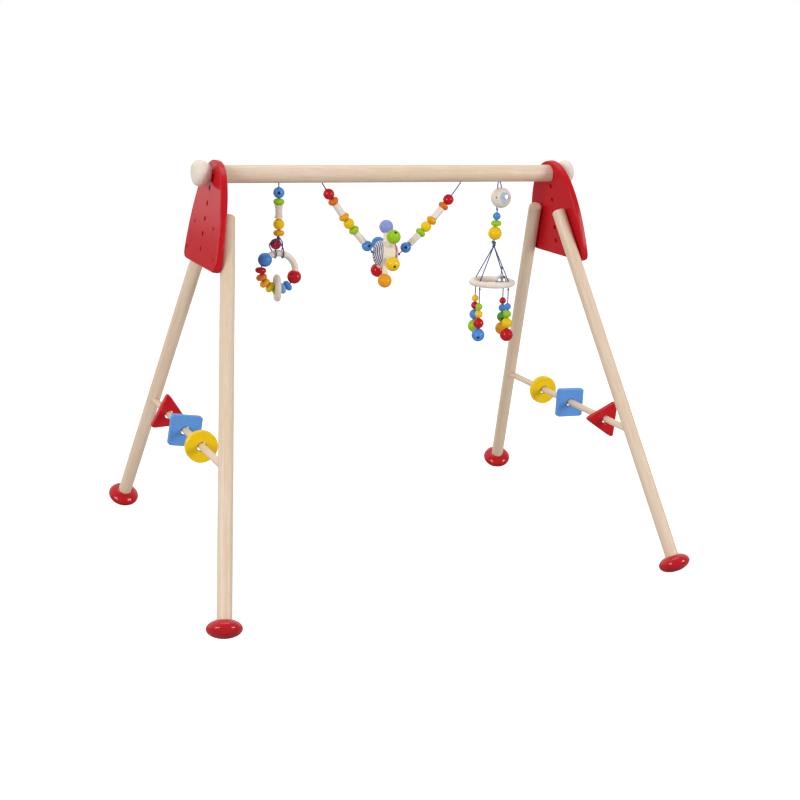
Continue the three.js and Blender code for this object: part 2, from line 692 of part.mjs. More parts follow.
// A drum with domed ends that turns on the string, and six balls on pegs round it.
function spinner(gym) {
  const dome = [0, 0.3, 0.58, 0.82, 1].map((share) => {
    const rise = DRUM_DOME * Math.cos((share * Math.PI) / 2);
    return [DRUM_RADIUS * Math.sin((share * Math.PI) / 2), DRUM_HALF_LENGTH + rise];
  });
  const bottom = dome.map(([radius, height]) => [radius, -height]);
  const pieces = [aimed(turned([...bottom, ...[...dome].reverse()], 14), X_AXIS)];
  for (let i = 0; i < PEG_COUNT; i += 1) {
    const angle = radians(PEG_PHASE + (360 * i) / PEG_COUNT);
    const out = (distance) => [0, -distance * Math.sin(angle), distance * Math.cos(angle)];
    pieces.push(rod(PEG_RADIUS, out(DRUM_RADIUS / 2), out(PEG_REACH), 8));
    pieces.push(ball(PEG_BALL, out(PEG_REACH)));
  }
  const mesh = named("spinner", join(pieces), "wood");
  mesh.position.set(...SPINNER_CENTRE);
  mesh.rotation.set(0, SPINNER_DIP, SPINNER_TURN, "ZYX");
  gym.add(mesh);
}

// ---------------------------------------------------------------- mobile with the bell
// Each bead is bored along the line between the places before and after it on the string.
function mobile(gym) {
  const above = [RATTLE_BORE_X, 0, RATTLE_CENTRE[2] + RATTLE_RADIUS];
  const below = [RATTLE_BORE_X, 0, RATTLE_CENTRE[2] - RATTLE_RADIUS];
  const rattle = cut(ball(RATTLE_RADIUS, RATTLE_CENTRE, 14), [rod(STRING_BORE, above, below, 8)]);
  gym.add(named("rattle_ball", rattle, "wood"));
  const places = [
    [MOBILE_X, 0, EXIT_Z - CORD_START],
    above,
    below,
    MOBILE_TURN,
    ...MOBILE_BEADS.map((bead) => bead.at),
    [MOBILE_KNOT[0] + 0.2, 0, MOBILE_KNOT[2] + KNOT_RADIUS + GAP],
  ];
  for (const bead of MOBILE_BEADS) {
    const i = places.indexOf(bead.at);
    const along = point(places[i - 1]).sub(point(places[i + 1]));
    const geometry = bead.kind === "ball" ? ballBead(bead.radius, STRING_BORE) : lensBead(STRING_BORE);
    gym.add(named(bead.name, aimed(geometry, along, bead.at), bead.colour));
  }
  gym.add(named("mobile_cord", strand(places), "cord"));
}

function onMobileRing(angle, height) {
  const [x, y, z] = MOBILE_RING_CENTRE;
  const turn = radians(angle);
  return [x + MOBILE_RING_RADIUS * Math.cos(turn), y + MOBILE_RING_RADIUS * Math.sin(turn), z + height];
}

// Four strands from the knot down to the ring, and the short string that carries the bell.
function mobileSling(gym) {
  const strands = DANGLES.map(({ angle }) =>
    rod(CORD_RADIUS, MOBILE_KNOT, onMobileRing(angle, MOBILE_RING_TUBE + 1), 6),
  );
  const share = (MOBILE_KNOT[2] - BELL_HANG_Z) / (MOBILE_KNOT[2] - onMobileRing(0, MOBILE_RING_TUBE)[2]);
  const ends = DANGLES.slice(1, 3).map(({ angle }) =>
    point(MOBILE_KNOT).lerp(point(onMobileRing(angle, MOBILE_RING_TUBE)), share).toArray(),
  );
  const bellTop = [BELL_CENTRE[0], BELL_CENTRE[1], BELL_CENTRE[2] + BELL_RADIUS + 1];
  const bellHang = [BELL_CENTRE[0], BELL_CENTRE[1], BELL_HANG_Z];
  const bridge = ends.map((end) => rod(CORD_RADIUS, end, bellHang, 6));
  const bellString = rod(CORD_RADIUS, bellHang, bellTop, 6);
  const knot = ball(KNOT_RADIUS, MOBILE_KNOT);
  gym.add(named("mobile_sling", join([knot, ...strands, ...bridge, bellString]), "cord"));
}

function dangleMesh({ name, angle, drop }) {
  const ring = onMobileRing(angle, -MOBILE_RING_TUBE - DANGLE_CLEARANCE);
  const places = [];
  let height = -drop;
  DANGLE_RADII.forEach((radius, i) => {
    if (i > 0) height -= DANGLE_RADII[i - 1] + radius;
    places.push(onMobileRing(angle, height));
  });
  const beads = DANGLE_RADII.map((radius, i) => ball(radius, places[i], 8));
  return named(name, join([rod(CORD_RADIUS, ring, places[places.length - 1], 6), ...beads]), "wood");
}

function mobileRing(gym) {
  const ring = new THREE.TorusGeometry(MOBILE_RING_RADIUS, MOBILE_RING_TUBE, 8, 24);
  gym.add(named("mobile_ring", ring.translate(...MOBILE_RING_CENTRE), "wood"));
  gym.add(...DANGLES.map(dangleMesh));
  gym.add(named("bell", ball(BELL_RADIUS, BELL_CENTRE), "steel"));
}

// ---------------------------------------------------------------- assembly
const gym = new THREE.Group();
gym.add(named("crossbar", barGeometry(), "wood"));
for (const side of SIDES) {
  sideFrame(side, gym);
  knobParts(side, gym);
}
gym.add(...SHAPES.map(shapeMesh));
pendant(gym);
graspRing(gym);
garland(gym);
spinner(gym);
mobile(gym);
mobileSling(gym);
mobileRing(gym);

export default gym;
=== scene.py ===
"""Activity play gym: a beech crossbar on two A-shaped leg frames, with a pendant, a garland and a mobile.

Metres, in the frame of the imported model: +X along the crossbar, +Y to the back, +Z up.
"""

import math

import bmesh
import bpy
from mathutils import Matrix, Vector


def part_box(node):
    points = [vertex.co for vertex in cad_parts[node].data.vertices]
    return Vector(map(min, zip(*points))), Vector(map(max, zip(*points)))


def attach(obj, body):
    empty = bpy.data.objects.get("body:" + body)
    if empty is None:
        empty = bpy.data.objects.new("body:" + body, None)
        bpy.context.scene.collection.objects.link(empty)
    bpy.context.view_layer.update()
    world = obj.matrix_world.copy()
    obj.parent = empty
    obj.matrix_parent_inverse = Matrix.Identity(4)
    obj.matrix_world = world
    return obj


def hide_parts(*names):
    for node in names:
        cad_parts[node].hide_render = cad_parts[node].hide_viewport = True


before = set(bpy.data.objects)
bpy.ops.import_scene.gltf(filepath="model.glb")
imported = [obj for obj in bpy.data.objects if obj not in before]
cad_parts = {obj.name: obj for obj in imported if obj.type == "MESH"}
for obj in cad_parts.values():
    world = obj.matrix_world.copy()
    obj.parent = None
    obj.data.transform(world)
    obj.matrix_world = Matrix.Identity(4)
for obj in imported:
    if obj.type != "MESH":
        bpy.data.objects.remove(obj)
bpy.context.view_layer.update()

# ---------------------------------------------------------------- driving dimensions
MM = 0.001
X_AXIS = Vector((1, 0, 0))
Y_AXIS = Vector((0, 1, 0))
Z_AXIS = Vector((0, 0, 1))


def middle(node):
    low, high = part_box(node)
    return (low + high) / 2


def extent(node):
    low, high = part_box(node)
    return high - low


BAR_Z = middle("crossbar").z
BAR_RADIUS = extent("crossbar").y / 2
BAR_HALF = extent("crossbar").x / 2
BOLT_Z = middle("knob_left").z
EXIT_Z = BAR_Z - BAR_RADIUS  # where strings leave the underside of the bar

SIDE_X = 246 * MM
SIDE_LEAN = math.radians(9.67)
LEG_RADIUS = 10 * MM
LEG_SPREAD = math.radians(27.3)
LEG_OFFSET = 9 * MM
LEG_TOP = 53 * MM
LEG_CHAMFER = 2.2 * MM
FOOT_Z = 14.3 * MM
FOOT_RADIUS = 23.2 * MM
FOOT_HALF_HEIGHT = 12.7 * MM
FOOT_CROWN = 0.86  # how far up its upper half a foot is cut off level
FOOT_SOCKET = 2.5 * MM
PLATE_INNER = 10.3 * MM
PLATE_THICKNESS = 10 * MM
PLATE_OUTER = PLATE_INNER + PLATE_THICKNESS
PLATE_TOP = 16.5 * MM
PLATE_BOTTOM = -128.5 * MM
PLATE_HALF_WIDTH = 80.5 * MM
PLATE_CROWN = 51 * MM
PLATE_SHOULDER = -50 * MM
PLATE_DRAW_IN = 3.5 * MM
PLATE_CORNER = 13 * MM
PLATE_ROUNDING = 2.2 * MM
HEIGHT_HOLE_RADIUS = 3.6 * MM
HEIGHT_HOLE_PITCH = 21 * MM
HEIGHT_HOLE_DROP = 1.2 * MM
HEIGHT_HOLES = 5
SCREW_DEPTHS = (73 * MM, 111.5 * MM)
SCREW_RADIUS = 1.5 * MM
SCREW_HEAD_RADIUS = 2.3 * MM
SCREW_HEAD_HEIGHT = 1.8 * MM
SCREW_SINK = 3 * MM
RUNG_Z = middle("rung_left").z
RUNG_RADIUS = 5 * MM
SHAPE_THICKNESS = 10 * MM
SHAPE_HOLE_RADIUS = 6.5 * MM
SHAPE_ROUNDING = 1.6 * MM

CORD_RADIUS = 0.9 * MM
CORD_START = 1.2 * MM
CORD_TWIST = 3.2 * MM  # along the string, for one full turn of its strands
BALL_RADIUS = 7.9 * MM
LENS_RADIUS = 7.9 * MM
LENS_LENGTH = 8.5 * MM
TUBE_RADIUS = 5.1 * MM
TUBE_LENGTH = 19.5 * MM
BORE_RADIUS = 1.5 * MM
GAP = 0.3 * MM

PENDANT_X = middle("pendant_cord").x
GRASP_CENTRE = Vector((-172.6, 0, 416.3)) * MM
GRASP_RADIUS = 25.4 * MM
GRASP_TUBE = 4.7 * MM
GRASP_BALL = 10 * MM
GRASP_BLUE_ANGLE = 139
GRASP_RED_ANGLE = 340
LOOSE_RADIUS = 15 * MM
LOOSE_TUBE = 4.5 * MM
LOOSE_TURN = math.radians(-10.7)
SLING_KNOT_RADIUS = 2.2 * MM
SLING_BEAD = Vector((-174.4, 5, 454.1)) * MM

GARLAND_EXIT_X = 107.5 * MM
SPINNER_CENTRE = Vector((-9.5, 0, 436.6)) * MM
SPINNER_DIP = math.radians(6)
SPINNER_TURN = math.radians(-4.5)
SPINNER_TILT = Matrix.Rotation(SPINNER_TURN, 3, "Z") @ Matrix.Rotation(SPINNER_DIP, 3, "Y")
DRUM_RADIUS = 18 * MM
DRUM_HALF_LENGTH = 9.25 * MM
DRUM_DOME = 9 * MM
PEG_RADIUS = 4 * MM
PEG_REACH = 39.5 * MM
PEG_BALL = 10.3 * MM
PEG_PHASE = -16

MOBILE_X = 171.5 * MM
RATTLE_CENTRE = Vector((175.8, 0, 515.8)) * MM
RATTLE_RADIUS = 15.3 * MM
RATTLE_BORE_X = 169.4 * MM
MOBILE_TURN = Vector((170.3, 0, 495.5)) * MM
MOBILE_KNOT = Vector((167.2, 0, 448.9)) * MM
RING_CENTRE = middle("mobile_ring")
RING_RADIUS = 30.6 * MM
RING_TUBE = 4.7 * MM
BELL_CENTRE = Vector((180, -3.7, 391.5)) * MM
BELL_RADIUS = 9 * MM
BELL_HANG_Z = 412 * MM

# The camera: where it stands, how it is turned, and how far its film is shifted.
CAMERA_PLACE = Vector((-0.788, -1.8851, 0.7293))
CAMERA_YAW = math.radians(26.64)
CAMERA_DOWN = math.radians(15.3)
CAMERA_ROLL = math.radians(2.29)
CAMERA_LENS = 62.9
CAMERA_SHIFT = (-0.101, 0.04)
FRONT_LIGHT, BACK_LIGHT = 0.4, 1.0


# ---------------------------------------------------------------- camera, lights and floor
def look_matrix(place, yaw, down, roll):
    """A camera's matrix: it looks along +Y turned right by yaw and tipped down, then rolled."""
    ahead = Vector((math.sin(yaw) * math.cos(down), math.cos(yaw) * math.cos(down), -math.sin(down)))
    right = ahead.cross(Z_AXIS).normalized()
    up = right.cross(ahead)
    rolled_right = right * math.cos(roll) + up * math.sin(roll)
    rolled_up = up * math.cos(roll) - right * math.sin(roll)
    turn = Matrix((rolled_right, rolled_up, -ahead)).transposed().to_4x4()
    return Matrix.Translation(place) @ turn


def add_camera():
    camera = bpy.data.objects.new("camera", bpy.data.cameras.new("camera"))
    camera.data.lens = CAMERA_LENS
    camera.data.sensor_width = 36
    camera.data.shift_x, camera.data.shift_y = CAMERA_SHIFT
    camera.data.clip_end = 50
    camera.matrix_world = look_matrix(CAMERA_PLACE, CAMERA_YAW, CAMERA_DOWN, CAMERA_ROLL)
    bpy.context.scene.collection.objects.link(camera)
    bpy.context.scene.camera = camera


def add_softbox(name, place, target, size, power):
    lamp = bpy.data.lights.new(name, "AREA")
    lamp.shape = "RECTANGLE"
    lamp.size, lamp.size_y = size
    lamp.energy = power
    light = bpy.data.objects.new(name, lamp)
    light.location = place
    light.rotation_euler = (Vector(target) - Vector(place)).to_track_quat("-Z", "Y").to_euler()
    bpy.context.scene.collection.objects.link(light)


def add_studio():
    """Light from a white backdrop, less from the front, and three softboxes. The backdrop looks white."""
    world = bpy.data.worlds.new("studio")
    bpy.context.scene.world = world
    world.use_nodes = True
    nodes, links = world.node_tree.nodes, world.node_tree.links
    parts = nodes.new("ShaderNodeSeparateXYZ")
    links.new(nodes.new("ShaderNodeTexCoord").outputs["Generated"], parts.inputs[0])
    level = nodes.new("ShaderNodeMapRange")
    links.new(parts.outputs["Y"], level.inputs["Value"])
    for key, value in (("From Min", -0.3), ("From Max", 0.4), ("To Min", FRONT_LIGHT), ("To Max", BACK_LIGHT)):
        level.inputs[key].default_value = value
    seen = nodes.new("ShaderNodeMath")
    seen.operation = "MAXIMUM"
    links.new(level.outputs[0], seen.inputs[0])
    links.new(nodes.new("ShaderNodeLightPath").outputs["Is Camera Ray"], seen.inputs[1])
    nodes["Background"].inputs["Color"].default_value = (1, 1, 1, 1)
    links.new(seen.outputs[0], nodes["Background"].inputs["Strength"])
    add_softbox("left_softbox", (-4.6, -2.4, 1.85), (0, 0, 0.35), (2.4, 2.4), 130)
    add_softbox("right_softbox", (3.4, -3.9, 1.55), (0, 0, 0.35), (2.0, 2.0), 120)
    add_softbox("top_softbox", (0.1, 0.5, 2.3), (0, 0, 0.4), (1.4, 0.9), 7)
    bpy.context.scene.view_settings.view_transform = "Standard"


def add_plane(name, height, material):
    bpy.ops.mesh.primitive_plane_add(size=30, location=(0, 0, height))
    plane = bpy.context.object
    plane.name = name
    plane.data.materials.append(material)
    return plane


def add_floor():
    """A white floor that fades into the backdrop, and the softer light that it throws back up."""
    floor = add_plane("floor", 0, floor_material())
    floor.visible_diffuse = False
    floor.visible_glossy = False
    bounce = add_plane("floor_bounce", 0.2 * MM, bounce_material())
    bounce.visible_camera = False
    bounce.visible_shadow = False


# ---------------------------------------------------------------- materials
def linear(colour):
    """A web colour as the linear colour that a shader takes."""
    parts = [int(colour[i : i + 2], 16) / 255 for i in (0, 2, 4)]
    return [p / 12.92 if p <= 0.04045 else ((p + 0.055) / 1.055) ** 2.4 for p in parts] + [1]


class Shader:
    """A material's node tree, with short calls for the nodes used here."""

    def __init__(self, name):
        self.material = bpy.data.materials.new(name)
        self.material.use_nodes = True
        self.tree = self.material.node_tree
        self.surface = self.tree.nodes["Principled BSDF"]

    def node(self, kind, inputs=(), **settings):
        made = self.tree.nodes.new(kind)
        for key, value in settings.items():
            setattr(made, key, value)
        for key, value in dict(inputs).items():
            if isinstance(value, bpy.types.NodeSocket):
                self.tree.links.new(value, made.inputs[key])
            else:
                made.inputs[key].default_value = value
        return made

    def object_place(self):
        return self.node("ShaderNodeTexCoord").outputs["Object"]

    def math(self, operation, first, second=0.0):
        return self.node("ShaderNodeMath", {0: first, 1: second}, operation=operation).outputs[0]

    def noise(self, place, scale, stretch=(1, 1, 1), detail=3.0, roughness=0.5, distortion=0.0):
        chance = self.node("ShaderNodeObjectInfo").outputs["Random"]
        offset = self.math("MULTIPLY", chance, 7.0)
        mapping = self.node("ShaderNodeMapping", {"Vector": place, "Location": offset, "Scale": stretch})
        inputs = {
            "Vector": mapping.outputs[0],
            "Scale": scale,
            "Detail": detail,
            "Roughness": roughness,
            "Distortion": distortion,
        }
        return self.node("ShaderNodeTexNoise", inputs).outputs["Fac"]

    def ramp(self, value, stops, interpolation="LINEAR"):
        made = self.node("ShaderNodeValToRGB", {"Fac": value})
        made.color_ramp.interpolation = interpolation
        for i, (position, colour) in enumerate(stops):
            stop = made.color_ramp.elements[i] if i < 2 else made.color_ramp.elements.new(position)
            stop.position = position
            stop.color = colour
        return made.outputs[0]

    def mix(self, share, first, second, blend="MIX"):
        made = self.node("ShaderNodeMix", data_type="RGBA", blend_type=blend)
        for socket, value in (("Factor", share), ("A", first), ("B", second)):
            target = [s for s in made.inputs if s.name == socket and s.enabled][0]
            if isinstance(value, bpy.types.NodeSocket):
                self.tree.links.new(value, target)
            else:
                target.default_value = value
        return [s for s in made.outputs if s.enabled][0]

    def bump(self, height, strength, distance):
        made = self.node("ShaderNodeBump", {"Height": height, "Strength": strength, "Distance": distance})
        self.tree.links.new(made.outputs[0], self.surface.inputs["Normal"])

    def link(self, socket, value):
        self.tree.links.new(value, self.surface.inputs[socket])

    def fix(self, **values):
        for key, value in values.items():
            self.surface.inputs[key.replace("_", " ")].default_value = value


def grey(level):
    return (level, level, level, 1)


def wood_material(name, light, warm, dark):
    """Varnished wood: fine lines along the piece's own Z, soft bands and small flecks."""
    shader = Shader(name)
    place = shader.object_place()
    lines = shader.noise(place, 1.0, (900, 900, 26), detail=4, roughness=0.62)
    bands = shader.noise(place, 1.0, (120, 120, 7), detail=3, roughness=0.5, distortion=0.8)
    flecks = shader.noise(place, 1.0, (2600, 2600, 420), detail=1)
    grain = shader.ramp(lines, [(0.3, linear(warm)), (0.6, linear(light))])
    band_share = shader.ramp(bands, [(0.42, grey(0)), (0.72, grey(0.75))])
    toned = shader.mix(band_share, grain, linear(warm))
    fleck_share = shader.ramp(flecks, [(0.62, grey(0)), (0.74, grey(0.4))])
    shader.link("Base Color", shader.mix(fleck_share, toned, linear(dark)))
    shader.link("Roughness", shader.ramp(lines, [(0.3, grey(0.5)), (0.8, grey(0.38))]))
    shader.bump(lines, 0.25, 0.06 * MM)
    shader.fix(Specular_IOR_Level=0.2, Coat_Weight=0.25, Coat_Roughness=0.2)
    return shader.material


def lacquer_material(name, colour, gloss):
    """Opaque lacquer over turned wood: a faint mottle, a soft orange peel, and gloss from 0 to 1."""
    shader = Shader(name)
    place = shader.object_place()
    base = linear(colour)
    deep = [part * 0.93 for part in base[:3]] + [1]
    mottle = shader.noise(place, 160, detail=2)
    peel = shader.noise(place, 900, detail=1)
    shader.link("Base Color", shader.ramp(mottle, [(0.3, deep), (0.6, base)]))
    rough = 0.42 - 0.3 * gloss
    shader.link("Roughness", shader.ramp(mottle, [(0.3, grey(rough)), (0.7, grey(rough * 0.8))]))
    shader.bump(peel, 0.12, 0.08 * MM)
    shader.fix(Specular_IOR_Level=0.0, Coat_Weight=0.3 + 0.5 * gloss, Coat_Roughness=0.2 - 0.16 * gloss)
    return shader.material


def drilled_material():
    """Painted shade for the inside of a bored hole: a dark, mottled brown for the discs set into holes."""
    shader = Shader("drilled_shadow")
    shade_mottle = shader.noise(shader.object_place(), 2000, detail=2)
    shader.link("Base Color", shader.ramp(shade_mottle, [(0.3, linear("15130f")), (0.8, linear("3a2f22"))]))
    shader.bump(shade_mottle, 0.3, 0.05 * MM)
    shader.fix(Roughness=0.9)
    return shader.material


def striped_material(name, colour, rings):
    """A dome painted with rings round its own Z axis."""
    shader = Shader(name)
    place = shader.object_place()
    parts = shader.node("ShaderNodeSeparateXYZ", {"Vector": place}).outputs
    across = shader.math("ADD", shader.math("POWER", parts[0], 2.0), shader.math("POWER", parts[1], 2.0))
    out = shader.math("MINIMUM", shader.math("MULTIPLY", shader.math("SQRT", across), 1 / DRUM_RADIUS), 1.0)
    wave = shader.math("FRACT", shader.math("MULTIPLY", shader.math("ARCSINE", out), rings * 2 / math.pi))
    edges = [(0.0, grey(0)), (0.36, grey(0)), (0.44, grey(1)), (0.94, grey(1)), (1.0, grey(0))]
    stripe = shader.ramp(wave, edges)
    brush = shader.noise(place, 700, detail=3)
    paint = shader.ramp(brush, [(0.3, linear(colour)), (0.8, [p * 1.15 for p in linear(colour)])])
    shader.link("Base Color", shader.mix(stripe, linear("f1eef0"), paint))
    shader.link("Roughness", shader.ramp(brush, [(0.3, grey(0.34)), (0.7, grey(0.26))]))
    shader.bump(stripe, 0.2, 0.05 * MM)
    shader.fix(Coat_Weight=0.3, Coat_Roughness=0.2)
    return shader.material


def cord_material():
    """Navy twisted string with painted shade: darkest in the grooves between its three strands and lightest on
    their crowns. Its fibres stand up.
    """
    shader = Shader("navy_string")
    place = shader.node("ShaderNodeUVMap").outputs[0]
    parts = shader.node("ShaderNodeSeparateXYZ", {"Vector": place}).outputs
    around = shader.math("MULTIPLY", parts[1], 3.0)
    wave = shader.math("FRACT", shader.math("SUBTRACT", around, shader.math("MULTIPLY", parts[0], 3.0)))
    crown = shader.math("SINE", shader.math("MULTIPLY", wave, math.pi))
    fibres = shader.noise(shader.object_place(), 3500, detail=2)
    # Painted shade across each strand: dark in the grooves, light on the crowns.
    colour = shader.ramp(crown, [(0.0, linear("1b2447")), (0.5, linear("33457f")), (1.0, linear("4a5f9d"))])
    fuzz = shader.ramp(fibres, [(0.35, grey(0.8)), (0.75, grey(1))])
    shader.link("Base Color", shader.mix(1.0, colour, fuzz, "MULTIPLY"))
    shader.bump(shader.math("ADD", crown, shader.math("MULTIPLY", fibres, 0.4)), 0.5, 0.12 * MM)
    shader.fix(Roughness=0.85, Sheen_Weight=0.3, Sheen_Roughness=0.5)
    return shader.material


def metal_material(name, colour, roughness):
    """Plated metal with fine scratches."""
    shader = Shader(name)
    scratches = shader.noise(shader.object_place(), 1.0, (400, 400, 4000), detail=3)
    worn = [part * 0.86 for part in linear(colour)]
    shader.link("Base Color", shader.ramp(scratches, [(0.3, linear(colour)), (0.8, worn)]))
    shader.link("Roughness", shader.ramp(scratches, [(0.3, grey(roughness)), (0.8, grey(roughness * 1.5))]))
    shader.bump(scratches, 0.08, 0.02 * MM)
    shader.fix(Metallic=1.0)
    return shader.material


def mirror_material():
    """The pale blue mirrored foil let into the rattle."""
    shader = Shader("pale_blue_mirror")
    waves = shader.noise(shader.object_place(), 260, detail=2)
    shader.link("Base Color", shader.ramp(waves, [(0.3, linear("bcd3f4")), (0.7, linear("e6effb"))]))
    shader.link("Roughness", shader.ramp(waves, [(0.3, grey(0.1)), (0.7, grey(0.2))]))
    shader.bump(waves, 0.2, 0.2 * MM)
    shader.fix(Metallic=0.6, Coat_Weight=0.8, Coat_Roughness=0.05)
    return shader.material


def floor_material():
    shader = Shader("pale_floor")
    grain = shader.noise(shader.object_place(), 6, detail=4)
    shader.link("Base Color", shader.ramp(grain, [(0.3, grey(0.93)), (0.7, grey(0.96))]))
    shader.fix(Roughness=0.9, Specular_IOR_Level=0.1, Emission_Color=(1, 1, 1, 1), Emission_Strength=0.8)
    return shader.material


def bounce_material():
    shader = Shader("grey_bounce")
    shader.fix(Base_Color=grey(0.42), Roughness=1.0, Specular_IOR_Level=0.0)
    return shader.material


LACQUERS = {
    "red": ("red_lacquer", "bd0c18", 1.0),
    "satin_red": ("red_lacquer", "c20f1b", 0.35),
    "bead_red": ("red_lacquer", "c60d1b", 0.6),
    "blue": ("blue_lacquer", "4f8ddb", 0.45),
    "sky_blue": ("blue_lacquer", "5f98df", 0.3),
    "light_blue": ("blue_lacquer", "7fb0e6", 0.45),
    "yellow": ("yellow_lacquer", "f2c90c", 0.45),
    "green": ("green_lacquer", "9ccb1e", 0.45),
    "dark_green": ("green_lacquer", "5ba32a", 0.45),
    "orange": ("orange_lacquer", "e0701c", 0.45),
    "amber": ("amber_lacquer", "efa414", 0.45),
    "lavender": ("lavender_lacquer", "8d9bdc", 0.45),
}
FINISHES = {
    key: (slot, lacquer_material(key + "_lacquer", colour, gloss))
    for key, (slot, colour, gloss) in LACQUERS.items()
}
FINISHES["wood"] = ("natural_wood", wood_material("natural_beech", "e9d4c0", "dcc1a2", "ae8a66"))
FINISHES["pale_wood"] = ("natural_wood", wood_material("pale_maple", "f0e7db", "e6d8c4", "c9b193"))
FINISHES["cord"] = ("cord", cord_material())
FINISHES["steel"] = ("steel", metal_material("bright_steel", "d5d5d8", 0.16))
FINISHES["dull_steel"] = ("steel", metal_material("dull_steel", "7d6a60", 0.4))
FINISHES["brass"] = ("brass", metal_material("plain_brass", "c8a558", 0.3))
FINISHES["navy_rings"] = ("natural_wood", striped_material("navy_rings", "20275c", 6))
FINISHES["red_rings"] = ("natural_wood", striped_material("red_rings", "b3243c", 3))
FINISHES["mirror"] = ("steel", mirror_material())
# Painted shade: the dark colour of the discs that stand for the shade inside holes.
FINISHES["drilled"] = ("natural_wood", drilled_material())


# ---------------------------------------------------------------- mesh building
def new_piece(name, vertices, faces, sharp=32):
    mesh = bpy.data.meshes.new(name)
    mesh.from_pydata([tuple(v) for v in vertices], [], faces)
    mesh.validate()
    mesh.shade_smooth()
    mesh.set_sharp_from_angle(angle=math.radians(sharp))
    piece = bpy.data.objects.new(name, mesh)
    bpy.context.scene.collection.objects.link(piece)
    return piece


def finish(piece, finish_name, body, *nodes):
    """Gives a piece its material, puts it on its body, and hides the CAD nodes it stands for."""
    slot, material = FINISHES[finish_name]
    piece.data.materials.clear()
    piece.data.materials.append(material)
    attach(piece, body)
    if nodes:
        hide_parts(*nodes)
    return piece


def softened(profile, radius, steps=3, closed=False):
    """A profile whose corners are rounded, each over at most the radius along its two edges."""
    points = [Vector(p) for p in profile]
    count = len(points)
    made = []
    for i, corner in enumerate(points):
        ends = not closed and i in (0, count - 1)
        before, after = points[i - 1], points[(i + 1) % count]
        reach_in = min(radius, (before - corner).length / 2)
        reach_out = min(radius, (after - corner).length / 2)
        if ends or reach_in < 1e-7 or reach_out < 1e-7:
            made.append(corner)
            continue
        enter = corner + (before - corner).normalized() * reach_in
        leave = corner + (after - corner).normalized() * reach_out
        for step in range(steps + 1):
            t = step / steps
            made.append(enter * (1 - t) ** 2 + corner * 2 * t * (1 - t) + leave * t * t)
    return made


def revolve(name, profile, segments=48, sharp=32):
    """Turns a profile of (radius, height) points, from the bottom up the outside, about Z."""
    vertices, rows = [], []
    closed = (Vector(profile[0]) - Vector(profile[-1])).length < 1e-7 and profile[0][0] > 1e-7
    for radius, height in profile[:-1] if closed else profile:
        if abs(radius) < 1e-7:
            rows.append([len(vertices)])
            vertices.append((0, 0, height))
            continue
        rows.append(list(range(len(vertices), len(vertices) + segments)))
        for i in range(segments):
            angle = 2 * math.pi * i / segments
            vertices.append((radius * math.cos(angle), radius * math.sin(angle), height))
    faces = []
    if closed:
        rows.append(rows[0])
    for low, high in zip(rows, rows[1:]):
        for i in range(segments):
            j = (i + 1) % segments
            if len(low) == 1 and len(high) > 1:
                faces.append((low[0], high[j], high[i]))
            elif len(high) == 1 and len(low) > 1:
                faces.append((low[i], low[j], high[0]))
            elif len(low) > 1:
                faces.append((low[i], low[j], high[j], high[i]))
    return new_piece(name, vertices, faces, sharp)


def aim(piece, direction, place, spin=0.0):
    """Turns a piece's own Z to a direction and puts its origin at a place."""
    turn = Z_AXIS.rotation_difference(Vector(direction).normalized()).to_matrix().to_4x4()
    piece.matrix_world = Matrix.Translation(place) @ turn @ Matrix.Rotation(spin, 4, "Z")
    return piece


def smooth_path(places, spacing):
    """Points on a smooth line through the places, about the spacing apart."""
    points = [Vector(p) for p in places]
    if len(points) == 2:
        count = max(2, math.ceil((points[1] - points[0]).length / spacing))
        return [points[0].lerp(points[1], i / count) for i in range(count + 1)]
    padded = [points[0] * 2 - points[1]] + points + [points[-1] * 2 - points[-2]]
    made = [points[0]]
    for a, b, c, d in zip(padded, padded[1:], padded[2:], padded[3:]):
        steps = max(2, math.ceil((c - b).length / spacing))
        for step in range(1, steps + 1):
            t = step / steps
            made.append(
                0.5 * (2 * b + (c - a) * t + (2 * a - 5 * b + 4 * c - d) * t**2 + (3 * b - a - 3 * c + d) * t**3)
            )
    return made


def sweep(name, path, radius_at, sides=12, closed=False):
    """A tube along a path. radius_at(distance, turn) gives its radius, with turn from 0 to 1 round it."""
    vertices, faces, uvs = [], [], []
    count = len(path)
    tangent = (path[1] - path[0]).normalized()
    across = tangent.orthogonal().normalized()
    distance = 0.0
    distances = []
    for i, place in enumerate(path):
        ahead = path[(i + 1) % count] if closed else path[min(i + 1, count - 1)]
        behind = path[i - 1] if closed or i else path[0]
        tangent = (ahead - behind).normalized()
        across = (across - tangent * across.dot(tangent)).normalized()
        other = tangent.cross(across)
        distances.append(distance)
        for side in range(sides):
            turn = side / sides
            angle = 2 * math.pi * turn
            radius = radius_at(distance, turn)
            vertices.append(place + (across * math.cos(angle) + other * math.sin(angle)) * radius)
        distance += (ahead - place).length
    rings = count if closed else count - 1
    for i in range(rings):
        for side in range(sides):
            low, high = i * sides, ((i + 1) % count) * sides
            j = (side + 1) % sides
            faces.append((low + side, low + j, high + j, high + side))
            far = distances[i + 1] if i + 1 < count else distance
            uvs += [(distances[i], side / sides), (distances[i], (side + 1) / sides)]
            uvs += [(far, (side + 1) / sides), (far, side / sides)]
    if not closed:
        faces.append(tuple(reversed(range(sides))))
        faces.append(tuple(range((count - 1) * sides, count * sides)))
        uvs += [(0, 0)] * (2 * sides)
    piece = new_piece(name, vertices, faces, 50)
    layer = piece.data.uv_layers.new(name="along")
    for loop, (along, turn) in zip(layer.data, uvs):
        loop.uv = (along / CORD_TWIST, turn)
    return piece


def twisted(distance, turn):
    """The radius of three twisted strands."""
    wave = (3 * (turn - distance / CORD_TWIST)) % 1
    return CORD_RADIUS * (0.9 + 0.12 * math.sin(math.pi * wave))


def string(name, places, body, nodes=()):
    """A length of the navy string, which starts at its first place."""
    path = smooth_path(places, 0.5 * MM)
    piece = finish(sweep(name, path, twisted), "cord", body, *nodes)
    return piece


